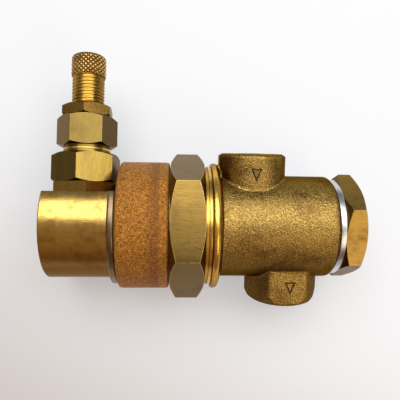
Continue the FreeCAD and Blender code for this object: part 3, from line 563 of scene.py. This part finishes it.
def pilot_body():
    """The pilot valve's lower hexagon with its two threaded ends, and the ball's seat inside it."""
    start, end = reach("pilot_body", PILOT)
    nut = reach("jam_nut", PILOT)[1]
    gasket = reach("pilot_gasket", PILOT)[0]
    neck = gasket - 1.2 * MM
    seat = nut + 6.7 * MM
    chamber = seat + 3.1 * MM
    lower, neck_radius, upper = 6.5 * MM, 8.3 * MM, 6.9 * MM
    passage, ball_bore, chamber_bore = 1.5 * MM, 2.9 * MM, 4.3 * MM
    outline = [(start, passage), (start, lower), (nut, lower)]
    outline += hexagon_blank(nut, neck, PILOT_FLATS)
    outline += [(neck, neck_radius), (gasket, neck_radius), (gasket, upper), (end, upper),
                (end, chamber_bore), (chamber, chamber_bore), (chamber, ball_bore), (seat, ball_bore),
                (seat, passage)]
    bm = lathe(outline)
    mill_hexagon(bm, PILOT_FLATS, PILOT_TURN)
    return piece("pilot_hexagon", on_pilot(bm), "valve", "pilot_body")


def pilot_gasket():
    """The copper ring under the spring housing."""
    start, end = reach("pilot_gasket", PILOT)
    bore, radius, rounding = 7.0 * MM, 8.5 * MM, 0.2 * MM
    bm = lathe([(start, bore), (start, radius, rounding), (end, radius, rounding), (end, bore)])
    return piece("pilot_ring", on_pilot(bm), "valve", "pilot_gasket", edge=None)


def pilot_housing():
    """The spring housing: a hexagon on a short round foot."""
    start, end = reach("pilot_housing", PILOT)
    foot, socket = start + 0.9 * MM, start + 5.2 * MM
    foot_radius, socket_bore, screw_bore = 8.45 * MM, 7.0 * MM, 6.0 * MM
    outline = [(start, socket_bore), (start, foot_radius), (foot, foot_radius)]
    outline += hexagon_blank(foot, end, HOUSING_FLATS)
    outline += [(end, screw_bore), (socket, screw_bore), (socket, socket_bore)]
    bm = lathe(outline)
    mill_hexagon(bm, HOUSING_FLATS, HOUSING_TURN)
    return piece("housing_hexagon", on_pilot(bm), "valve", "pilot_housing")


def lock_nut():
    """The nut that locks the adjusting screw."""
    start, end = reach("lock_nut", PILOT)
    bore = 6.0 * MM
    bm = lathe([(start, bore)] + hexagon_blank(start, end, LOCK_NUT_FLATS) + [(end, bore)])
    mill_hexagon(bm, LOCK_NUT_FLATS, LOCK_NUT_TURN)
    return piece("lock_nut_hexagon", on_pilot(bm), "lock_nut", "lock_nut")


def adjuster_screw():
    """The adjusting screw's thread, up to its head. The head takes the CAD node's place."""
    start, end = reach("adjuster", PILOT)
    knob = end - KNOB_HEIGHT
    bm = screw_thread(start, knob + 0.1 * MM, THREAD_RADIUS, THREAD_DEPTH, THREAD_PITCH)
    return piece("adjusting_thread", on_pilot(bm), "adjuster", None, edge=None, smooth=50)


def knurled_knob():
    """The screw's head, with two sets of crossing grooves pressed into its side."""
    end = reach("adjuster", PILOT)[1]
    start = end - KNOB_HEIGHT
    rows, steps = 56, 264
    side_start, side_height = start + 0.2 * MM, KNOB_HEIGHT - 1.2 * MM
    outline = [(start, 0), (start, KNOB_RADIUS - 0.3 * MM)]
    outline += [(side_start + side_height * row / rows, KNOB_RADIUS) for row in range(rows + 1)]
    outline += [(end - 0.45 * MM, KNOB_RADIUS - 0.35 * MM), (end, KNOB_RADIUS - 1.1 * MM), (end, 0)]
    bm = lathe(outline, steps=steps)
    root, fade = KNOB_RADIUS * 0.93, KNOB_RADIUS * 0.03
    for vertex in bm.verts:
        out = math.hypot(vertex.co.y, vertex.co.z)
        if out > root:
            turn = math.atan2(vertex.co.y, vertex.co.z)
            climb = (vertex.co.x - start) * KNURL_SLOPE / KNOB_RADIUS
            waves = [abs(((turn + way * climb) * KNURL_GROOVES / math.tau) % 1 - 0.5) * 2 for way in (-1, 1)]
            share = min(1.0, (out - root) / fade)
            inward = Vector((0, -vertex.co.y, -vertex.co.z)).normalized()
            vertex.co += inward * KNURL_DEPTH * share * max(1 - 1.6 * min(waves), 0)
    return piece("knurled_knob", on_pilot(bm), "adjuster", "adjuster", edge=None, smooth=60)


made = {
    "cap": cylinder_cap(), "washer": steel_washer(), "silencer": silencer_ring(), "bonnet": bonnet(),
    "gasket": bonnet_gasket(), "body": valve_body(), "plug_washer": plug_washer(), "plug": end_plug(),
    "jam_nut": jam_nut(), "pilot": pilot_body(), "pilot_ring": pilot_gasket(),
    "housing": pilot_housing(), "lock_nut": lock_nut(), "thread": adjuster_screw(), "knob": knurled_knob(),
}


# Materials

def node(tree, kind, sockets=None, **settings):
    """Add a node. sockets gives each named or numbered input its value or its link."""
    added = tree.nodes.new(kind)
    for name, value in settings.items():
        setattr(added, name, value)
    for key, value in (sockets or {}).items():
        if isinstance(value, bpy.types.NodeSocket):
            tree.links.new(value, added.inputs[key])
        else:
            added.inputs[key].default_value = value
    return added


def maths(tree, operation, *values, clamp=False):
    """Work out a value from others, each of them a number or a link."""
    worked = node(tree, "ShaderNodeMath", dict(enumerate(values)), operation=operation, use_clamp=clamp)
    return worked.outputs[0]


def mixed(tree, share, first, second):
    """Mix two colours: all the first at a share of 0, all the second at 1."""
    mix = node(tree, "ShaderNodeMix", {0: share, 6: first, 7: second}, data_type="RGBA")
    return mix.outputs[2]


def window(tree, value, low, high, to_low=0.0, to_high=1.0):
    """Stretch the part of a value between low and high over a new range."""
    stretched = node(tree, "ShaderNodeMapRange", {0: value, 1: low, 2: high, 3: to_low, 4: to_high},
                     interpolation_type="SMOOTHSTEP")
    return stretched.outputs[0]


def group(name, inputs, outputs):
    """A new shader node group with its sockets, and its two end nodes."""
    tree = bpy.data.node_groups.new(name, "ShaderNodeTree")
    for label, kind in inputs.items():
        tree.interface.new_socket(label, in_out="INPUT", socket_type=kind)
    for label, kind in outputs.items():
        tree.interface.new_socket(label, in_out="OUTPUT", socket_type=kind)
    return tree, tree.nodes.new("NodeGroupInput").outputs, tree.nodes.new("NodeGroupOutput")


def use(tree, shared, sockets):
    """Use a shared node group, and give back its outputs."""
    return node(tree, "ShaderNodeGroup", sockets, node_tree=shared).outputs


def noise_value(tree, place, scale, **more):
    """The value of a noise texture at a place."""
    sockets = {"Vector": place, "Scale": scale}
    sockets.update({name.capitalize(): value for name, value in more.items()})
    return node(tree, "ShaderNodeTexNoise", sockets).outputs[0]


def from_axis(tree, axes):
    """The distance from the X axis."""
    squares = [maths(tree, "MULTIPLY", axes[way], axes[way]) for way in (1, 2)]
    return maths(tree, "POWER", maths(tree, "ADD", *squares), 0.5)


VECTOR, FLOAT = "NodeSocketVector", "NodeSocketFloat"


def tool_rings_group():
    """Fine rings that a turning tool leaves round X, on sides and on end faces alike."""
    tree, given, out = group("tool_rings", {"Vector": VECTOR, "Lines": FLOAT},
                             {"Height": FLOAT, "Band": FLOAT})
    axes = node(tree, "ShaderNodeSeparateXYZ", {0: given["Vector"]}).outputs
    radius = from_axis(tree, axes)
    along = maths(tree, "MULTIPLY", maths(tree, "ADD", axes[0], radius), given["Lines"])
    safe = maths(tree, "MAXIMUM", radius, 0.0001)
    round_y = maths(tree, "MULTIPLY", maths(tree, "DIVIDE", axes[1], safe), 1.2)
    round_z = maths(tree, "MULTIPLY", maths(tree, "DIVIDE", axes[2], safe), 1.2)
    place = node(tree, "ShaderNodeCombineXYZ", {0: along, 1: round_y, 2: round_z}).outputs[0]
    tree.links.new(noise_value(tree, place, 1.0, detail=2.0), out.inputs["Height"])
    tree.links.new(noise_value(tree, place, 0.17, detail=1.0), out.inputs["Band"])
    return tree


def drawn_lines_group():
    """Fine lines along X, as the drawing die leaves on bar, and the wide bands between them."""
    tree, given, out = group("drawn_lines", {"Vector": VECTOR, "Lines": FLOAT},
                             {"Height": FLOAT, "Band": FLOAT})
    laid = node(tree, "ShaderNodeMapping", {"Vector": given["Vector"], "Scale": (0.02, 1.0, 1.0)}).outputs[0]
    slow = maths(tree, "MULTIPLY", given["Lines"], 0.22)
    tree.links.new(noise_value(tree, laid, given["Lines"], detail=2.0), out.inputs["Height"])
    tree.links.new(noise_value(tree, laid, slow, detail=2.0), out.inputs["Band"])
    return tree


def stains_group():
    """Soft-edged patches of tarnish with a mottled rim."""
    tree, given, out = group("stains", {"Vector": VECTOR, "Scale": FLOAT, "Low": FLOAT, "High": FLOAT},
                             {"Mask": FLOAT})
    patches = noise_value(tree, given["Vector"], given["Scale"], detail=5.0, roughness=0.62, distortion=0.4)
    tree.links.new(window(tree, patches, given["Low"], given["High"]), out.inputs["Mask"])
    return tree


def scratches_group():
    """Thin handling scratches in two directions."""
    tree, given, out = group("scratches", {"Vector": VECTOR, "Scale": FLOAT, "Width": FLOAT}, {"Mask": FLOAT})
    masks = []
    for turn, stretch in ((0.35, 0.05), (1.9, 0.09)):
        turned = {"Vector": given["Vector"], "Rotation": (turn * 0.7, turn, turn),
                  "Scale": (stretch, 1.0, 1.0)}
        laid = node(tree, "ShaderNodeMapping", turned).outputs[0]
        lines = noise_value(tree, laid, given["Scale"], detail=1.0)
        off = maths(tree, "ABSOLUTE", maths(tree, "SUBTRACT", lines, 0.5))
        masks.append(maths(tree, "SUBTRACT", 1.0, maths(tree, "DIVIDE", off, given["Width"]), clamp=True))
    tree.links.new(maths(tree, "MAXIMUM", *masks), out.inputs["Mask"])
    return tree


def grain_group():
    """The pitted skin of a blasted forging or a sintered ring."""
    tree, given, out = group("grain", {"Vector": VECTOR, "Scale": FLOAT}, {"Height": FLOAT, "Cell": FLOAT})
    cells = node(tree, "ShaderNodeTexVoronoi", {"Vector": given["Vector"], "Scale": given["Scale"],
                                                "Randomness": 1.0}, feature="SMOOTH_F1")
    cells.inputs["Smoothness"].default_value = 0.35
    rough = noise_value(tree, given["Vector"], maths(tree, "MULTIPLY", given["Scale"], 1.4), detail=3.0)
    bumps = maths(tree, "SUBTRACT", maths(tree, "MULTIPLY", rough, 1.2), cells.outputs["Distance"])
    tint = node(tree, "ShaderNodeSeparateColor", {0: cells.outputs["Color"]}).outputs[0]
    tree.links.new(bumps, out.inputs["Height"])
    tree.links.new(tint, out.inputs["Cell"])
    return tree


TOOL_RINGS, DRAWN_LINES, STAINS = tool_rings_group(), drawn_lines_group(), stains_group()
SCRATCHES, GRAIN = scratches_group(), grain_group()


def start_material(name, metallic=1.0, pilot=False):
    """A new material: its tree, its shader, and its places, turned to the pilot valve's axis at need."""
    material = bpy.data.materials.new(name)
    material.use_nodes = True
    tree = material.node_tree
    shader = tree.nodes["Principled BSDF"]
    shader.inputs["Metallic"].default_value = metallic
    place = node(tree, "ShaderNodeTexCoord").outputs["Object"]
    if pilot:
        turn = standing(PILOT, PILOT_X)
        turned = {"Vector": place, "Location": turn.translation, "Rotation": turn.to_euler()}
        place = node(tree, "ShaderNodeMapping", turned, vector_type="TEXTURE").outputs[0]
    return material, tree, shader, place


def stains(tree, place, scale, low, high):
    """How tarnished each place is, from 0 to 1."""
    return use(tree, STAINS, {"Vector": place, "Scale": scale, "Low": low, "High": high})["Mask"]


def bump(tree, shader, height, strength, distance):
    """Give a shader fine relief, for what is too small to model."""
    bumped = node(tree, "ShaderNodeBump", {"Height": height, "Strength": strength, "Distance": distance})
    tree.links.new(bumped.outputs[0], shader.inputs["Normal"])


def painted_side_shade(tree, most, unshaded_from=0.85, full_shade_below=0.3):
    """A mask for the painted shade on the sides: faces that turn away from the top are painted darker and
    browner.
    """
    facing = node(tree, "ShaderNodeTexCoord").outputs["Normal"]
    up = node(tree, "ShaderNodeSeparateXYZ", {0: facing}).outputs[2]
    return window(tree, up, full_shade_below, unshaded_from, most, 0.0)


# What is left of each of a dull brass's colours under the painted shade on the sides
SIDE_SHADE_SHARE = (0.34, 0.24, 0.2)


def brass(name, clean, dull, roughness, marking=None, lines=2600, depth=0.02, scratch=0.03, low=0.5,
          high=0.8, pilot=False, stain_scale=190, side_shade=0.66, unshaded_from=0.85, full_shade_below=0.3,
          tint=(0.6, 0.5, 0.4)):
    """Machined brass: tool or drawing lines, tarnish, handling scratches, and painted shade that darkens and
    browns the sides that turn away from the top.
    """
    material, tree, shader, place = start_material(name, pilot=pilot)
    shader.inputs["Coat Weight"].default_value = 0.3
    shader.inputs["Coat IOR"].default_value = 1.36
    shader.inputs["Coat Roughness"].default_value = 0.3
    shader.inputs["Specular Tint"].default_value = (*tint, 1)
    rings = use(tree, marking or TOOL_RINGS, {"Vector": place, "Lines": lines})
    tarnish = stains(tree, place, stain_scale, low, high)
    marks = use(tree, SCRATCHES, {"Vector": place, "Scale": 1700, "Width": scratch})["Mask"]
    colour = mixed(tree, tarnish, (*clean, 1), (*dull, 1))
    # Painted shade: faces that turn away from the top get a darker, browner colour
    side_shade_colour = [value * share for value, share in zip(dull, SIDE_SHADE_SHARE)]
    colour = mixed(tree, painted_side_shade(tree, side_shade, unshaded_from, full_shade_below), colour, (*side_shade_colour, 1))
    scratched = [value * 0.55 for value in dull]
    colour = mixed(tree, maths(tree, "MULTIPLY", marks, 0.3), colour, (*scratched, 1))
    tree.links.new(colour, shader.inputs["Base Color"])
    rough = window(tree, rings["Band"], 0.3, 0.7, roughness * 0.8, roughness * 1.2)
    rough = maths(tree, "ADD", rough, maths(tree, "MULTIPLY", tarnish, 0.12), clamp=True)
    tree.links.new(rough, shader.inputs["Roughness"])
    height = maths(tree, "SUBTRACT", rings["Height"], maths(tree, "MULTIPLY", marks, 0.5))
    bump(tree, shader, height, 0.35, depth * MM)
    return material


def knurled():
    """Brass whose knurl is bright on its crests and dark brown in its grooves."""
    material, tree, shader, place = start_material("knurled brass", pilot=True)
    radius = from_axis(tree, node(tree, "ShaderNodeSeparateXYZ", {0: place}).outputs)
    crest = window(tree, radius, KNOB_RADIUS - 0.36 * MM, KNOB_RADIUS - 0.03 * MM)
    tarnish = stains(tree, place, 300, 0.45, 0.7)
    bright = mixed(tree, tarnish, (0.92, 0.65, 0.2, 1), (0.56, 0.32, 0.1, 1))
    tree.links.new(mixed(tree, crest, (0.20, 0.10, 0.03, 1), bright), shader.inputs["Base Color"])
    tree.links.new(window(tree, crest, 0.0, 1.0, 0.5, 0.26), shader.inputs["Roughness"])
    return material


def forged():
    """Hot-forged brass with a blasted, slightly greenish skin that is darker in its hollows, with painted
    shade on the sides that turn away from the top and painted glints on the crests of its grain.
    """
    material, tree, shader, place = start_material("forged brass")
    shader.inputs["Specular Tint"].default_value = (0.5, 0.4, 0.3, 1)
    grain = use(tree, GRAIN, {"Vector": place, "Scale": 2000})
    tarnish = stains(tree, place, 120, 0.42, 0.68)
    colour = mixed(tree, tarnish, (0.57, 0.37, 0.095, 1), (0.34, 0.20, 0.055, 1))
    # Painted shade: faces that turn away from the top are painted dark brown
    colour = mixed(tree, painted_side_shade(tree, 0.88, 0.93), colour, (0.11, 0.055, 0.02, 1))
    colour = mixed(tree, window(tree, grain["Height"], -0.1, 0.45, 0.6, 0.0), colour, (0.08, 0.045, 0.016, 1))
    # Painted glints: bright yellow colour on the crests of the grain
    painted_glint = window(tree, grain["Height"], 0.5, 0.95, 0.0, 0.7)
    colour = mixed(tree, painted_glint, colour, (1.0, 0.74, 0.26, 1))
    tree.links.new(colour, shader.inputs["Base Color"])
    tree.links.new(window(tree, grain["Cell"], 0.0, 1.0, 0.26, 0.46), shader.inputs["Roughness"])
    bump(tree, shader, grain["Height"], 0.9, 0.12 * MM)
    return material


def die_mark():
    """A dark brown colour in the forging's struck marks."""
    material, tree, shader, place = start_material("die mark", metallic=0.4)
    grain = use(tree, GRAIN, {"Vector": place, "Scale": 2500})
    tree.links.new(mixed(tree, grain["Cell"], (0.06, 0.033, 0.012, 1), (0.16, 0.09, 0.03, 1)),
                   shader.inputs["Base Color"])
    shader.inputs["Roughness"].default_value = 0.6
    return material


def sintered():
    """Bronze beads sintered into a porous ring, with a darker band beside the hexagon, darker hollows and
    painted glints on the crests of its grain.
    """
    material, tree, shader, place = start_material("sintered bronze", metallic=0.6)
    grain = use(tree, GRAIN, {"Vector": place, "Scale": 2900})
    tarnish = stains(tree, place, 90, 0.45, 0.7)
    colour = mixed(tree, grain["Cell"], (0.29, 0.108, 0.010, 1), (0.92, 0.41, 0.06, 1))
    colour = mixed(tree, maths(tree, "MULTIPLY", tarnish, 0.3), colour, (0.36, 0.13, 0.03, 1))
    along = node(tree, "ShaderNodeSeparateXYZ", {0: place}).outputs[0]
    rising = window(tree, along, 34.0 * MM, 38.5 * MM)
    falling = window(tree, along, 38.6 * MM, 40.0 * MM, 1.0, 0.0)
    band = maths(tree, "MULTIPLY", rising, falling)
    colour = mixed(tree, maths(tree, "MULTIPLY", band, 0.5), colour, (0.22, 0.075, 0.025, 1))
    # Painted glints: bright orange colour on the crests of the grain
    painted_glint = window(tree, grain["Height"], 0.45, 0.9, 0.0, 0.8)
    colour = mixed(tree, painted_glint, colour, (1.0, 0.58, 0.14, 1))
    colour = mixed(tree, window(tree, grain["Height"], -0.15, 0.3, 0.6, 0.0), colour, (0.10, 0.035, 0.01, 1))
    tree.links.new(colour, shader.inputs["Base Color"])
    shader.inputs["Roughness"].default_value = 0.55
    bump(tree, shader, grain["Height"], 0.9, 0.16 * MM)
    return material


def plain_metal(name, colour, dull, roughness, lines=1800):
    """A softer metal with faint rings and a dull bloom."""
    material, tree, shader, place = start_material(name)
    rings = use(tree, TOOL_RINGS, {"Vector": place, "Lines": lines})
    bloom = stains(tree, place, 260, 0.4, 0.7)
    tree.links.new(mixed(tree, bloom, (*colour, 1), (*dull, 1)), shader.inputs["Base Color"])
    tree.links.new(window(tree, rings["Band"], 0.3, 0.7, roughness * 0.85, roughness * 1.2),
                   shader.inputs["Roughness"])
    bump(tree, shader, rings["Height"], 0.3, 0.02 * MM)
    return material


def rubber():
    """Dull black rubber with a faint bloom."""
    material, tree, shader, place = start_material("black rubber", metallic=0.0)
    bloom = stains(tree, place, 400, 0.4, 0.7)
    tree.links.new(mixed(tree, bloom, (0.018, 0.018, 0.018, 1), (0.03, 0.03, 0.028, 1)),
                   shader.inputs["Base Color"])
    shader.inputs["Roughness"].default_value = 0.6
    return material


TURNED = brass("turned brass", (0.72, 0.47, 0.115), (0.42, 0.21, 0.055), 0.2, low=0.46, high=0.78,
               side_shade=0.84, unshaded_from=0.98, full_shade_below=0.52)
HEXAGON = brass("hexagon brass", (0.25, 0.155, 0.034), (0.18, 0.105, 0.03), 0.22, DRAWN_LINES, lines=1500,
                scratch=0.04, low=0.46, high=0.76, stain_scale=110, side_shade=0.5, tint=(0.8, 0.75, 0.72))
PLUG_BRASS = brass("plug brass", (0.31, 0.19, 0.042), (0.17, 0.10, 0.028), 0.22, DRAWN_LINES, lines=1300,
                   low=0.45, high=0.75, stain_scale=150)
MACHINED = brass("port brass", (0.92, 0.58, 0.11), (0.64, 0.33, 0.06), 0.27, lines=1800)
PILOT_BRASS = brass("pilot brass", (0.29, 0.195, 0.038), (0.23, 0.145, 0.032), 0.2, DRAWN_LINES, lines=1500,
                    pilot=True, stain_scale=140)
HOUSING_BRASS = brass("housing brass", (0.18, 0.12, 0.026), (0.14, 0.088, 0.022), 0.2, DRAWN_LINES,
                      lines=1500, pilot=True, stain_scale=140, tint=(0.75, 0.66, 0.58))
THREAD_BRASS = brass("thread brass", (0.74, 0.50, 0.095), (0.52, 0.29, 0.06), 0.27, lines=900, pilot=True)
NUT_BRASS = brass("nut brass", (0.44, 0.265, 0.05), (0.34, 0.17, 0.035), 0.25, lines=900, pilot=True)
WORN = brass("worn brass", (0.80, 0.62, 0.20), (0.62, 0.45, 0.14), 0.3, lines=1500)
FORGED, SINTERED = forged(), sintered()
COPPER = plain_metal("copper", (0.80, 0.50, 0.11), (0.60, 0.32, 0.07), 0.28)
ALUMINIUM = plain_metal("soft aluminium", (0.66, 0.67, 0.70), (0.50, 0.51, 0.54), 0.28)
STEEL = plain_metal("plated steel", (0.30, 0.22, 0.125), (0.17, 0.12, 0.075), 0.36)
RUBBER = rubber()

DRESS = {
    "cap": TURNED, "washer": STEEL, "silencer": SINTERED, "bonnet": HEXAGON, "gasket": COPPER,
    "body": FORGED, "plug_washer": ALUMINIUM, "plug": PLUG_BRASS, "jam_nut": NUT_BRASS,
    "pilot": PILOT_BRASS, "pilot_ring": COPPER, "housing": HOUSING_BRASS, "lock_nut": NUT_BRASS,
    "thread": THREAD_BRASS, "knob": knurled(),
}
for name, material in DRESS.items():
    # Emptying the list would also reset the place that each face names in it
    slots = made[name].data.materials
    if slots:
        slots[0] = material
    else:
        slots.append(material)
made["body"].data.materials.append(MACHINED)
made["body"].data.materials.append(die_mark())
for name in ("bonnet", "plug", "pilot", "housing", "lock_nut", "jam_nut"):
    made[name].data.materials.append(WORN)
    made[name].modifiers["edges"].material = WORN_SLOT
made["bonnet"].data.materials.append(MACHINED)

BY_SLOT = {
    "turned_brass": TURNED, "hexagon_brass": HEXAGON, "forged_brass": FORGED, "sintered_bronze": SINTERED,
    "copper": COPPER, "soft_aluminium": ALUMINIUM, "plated_steel": STEEL, "spring_steel": STEEL,
    "polished_steel": STEEL, "seal_rubber": RUBBER,
}
for subpart in frame["record"]["subparts"]:
    inner = nodes[subpart["node"]]
    if not inner.hide_render:
        inner.data.materials.clear()
        inner.data.materials.append(BY_SLOT[subpart["material_slot"]])


# Floor, light and camera

def floor():
    """The pale table, with a painted shadow that darkens it towards -Y and -X, as the camera and the gloss
    see it.
    """
    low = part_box("bonnet")[0].z
    bm = bmesh.new()
    bmesh.ops.create_grid(bm, x_segments=1, y_segments=1, size=1.5,
                          matrix=Matrix.Translation((0.05, 0, low)))
    mesh = bpy.data.meshes.new("floor")
    bm.to_mesh(mesh)
    bm.free()
    ground = bpy.data.objects.new("floor", mesh)
    bpy.context.scene.collection.objects.link(ground)
    material = bpy.data.materials.new("pale floor")
    material.use_nodes = True
    tree = material.node_tree
    shader = tree.nodes["Principled BSDF"]
    place = node(tree, "ShaderNodeTexCoord").outputs["Object"]
    axes = node(tree, "ShaderNodeSeparateXYZ", {0: place}).outputs
    # Painted shadow: the floor's tone falls off towards -Y and -X
    out_of_painted_shadow = maths(tree, "ADD", axes[1], maths(tree, "MULTIPLY", axes[0], 0.55))
    painted_shadow_tone = mixed(tree, window(tree, out_of_painted_shadow, -0.12, 0.05), (0.63, 0.585, 0.58, 1), (0.93, 0.955, 0.99, 1))
    tree.links.new(mixed(tree, FLOOR_SHARE, (0, 0, 0, 1), painted_shadow_tone), shader.inputs["Base Color"])
    tree.links.new(painted_shadow_tone, shader.inputs["Emission Color"])
    shader.inputs["Roughness"].default_value = 0.9
    light = node(tree, "ShaderNodeLightPath").outputs
    seen = maths(tree, "MAXIMUM", light["Is Camera Ray"], light["Is Glossy Ray"])
    tree.links.new(maths(tree, "MULTIPLY", seen, FLOOR_LIFT), shader.inputs["Emission Strength"])
    mesh.materials.append(material)


def area_light(name, place, aim, width, depth, radiance, colour=(1, 1, 1)):
    """A soft lamp that is aimed at a point, with the brightness of its own face."""
    lamp = bpy.data.lights.new(name, "AREA")
    lamp.shape = "RECTANGLE"
    lamp.size, lamp.size_y, lamp.color = width, depth, colour
    lamp.energy = radiance * 4 * width * depth
    holder = bpy.data.objects.new(name, lamp)
    holder.location = place
    holder.rotation_euler = (Vector(aim) - Vector(place)).to_track_quat("-Z", "Y").to_euler()
    bpy.context.scene.collection.objects.link(holder)


def world():
    """A dim room: neutral overhead and towards +Y, warm brown at the horizon towards -Y."""
    surroundings = bpy.data.worlds.new("room")
    surroundings.use_nodes = True
    tree = surroundings.node_tree
    background = tree.nodes["Background"]
    way = node(tree, "ShaderNodeTexCoord").outputs["Generated"]
    axes = node(tree, "ShaderNodeSeparateXYZ", {0: way}).outputs
    high = window(tree, axes[2], 0.15, 0.9)
    side = window(tree, axes[1], -0.5, 0.4)
    low = mixed(tree, side, (0.20, 0.11, 0.06, 1), (0.18, 0.18, 0.19, 1))
    sky = mixed(tree, side, (0.30, 0.21, 0.14, 1), (0.36, 0.34, 0.32, 1))
    tree.links.new(mixed(tree, high, low, sky), background.inputs["Color"])
    background.inputs["Strength"].default_value = 1.0
    bpy.context.scene.world = surroundings


def camera():
    """The photograph's camera: almost straight above, a little off the middle of the valve."""
    roll, lean, twist = (math.radians(angle) for angle in (6.1, 2.99, 0.66))
    # The distance and the drop are in the photograph's pixels, and the scale is a pixel's size
    scale, distance, drop, middle = 0.372 * MM, 445, 24.96, 53.9 * MM
    image_up = Vector((0, math.cos(roll), math.sin(roll)))
    towards = Vector((0, -math.sin(roll), math.cos(roll)))
    back = towards * math.cos(lean) - MAIN * math.sin(lean)
    level = MAIN * math.cos(lean) + towards * math.sin(lean)
    right = level * math.cos(twist) + image_up * math.sin(twist)
    up = image_up * math.cos(twist) - level * math.sin(twist)
    view = bpy.data.cameras.new("camera")
    view.sensor_width = 36
    view.lens = view.sensor_width * distance / FRAME
    view.clip_start = 0.005
    holder = bpy.data.objects.new("camera", view)
    place = MAIN * middle + (up * drop + back * distance) * scale
    turn = Matrix((right, up, back)).transposed().to_4x4()
    holder.matrix_world = Matrix.Translation(place) @ turn
    bpy.context.scene.collection.objects.link(holder)
    bpy.context.scene.camera = holder


floor()
world()
area_light("softbox", (0.11, 0.24, 0.55), (0.07, 0.02, 0), 0.95, 0.44, 2.2)
area_light("second window", (0.38, -0.36, 0.48), (0.08, 0, 0), 0.34, 0.36, 1.5, (1.0, 0.86, 0.66))
camera()
bpy.context.scene.view_settings.view_transform = "Standard"
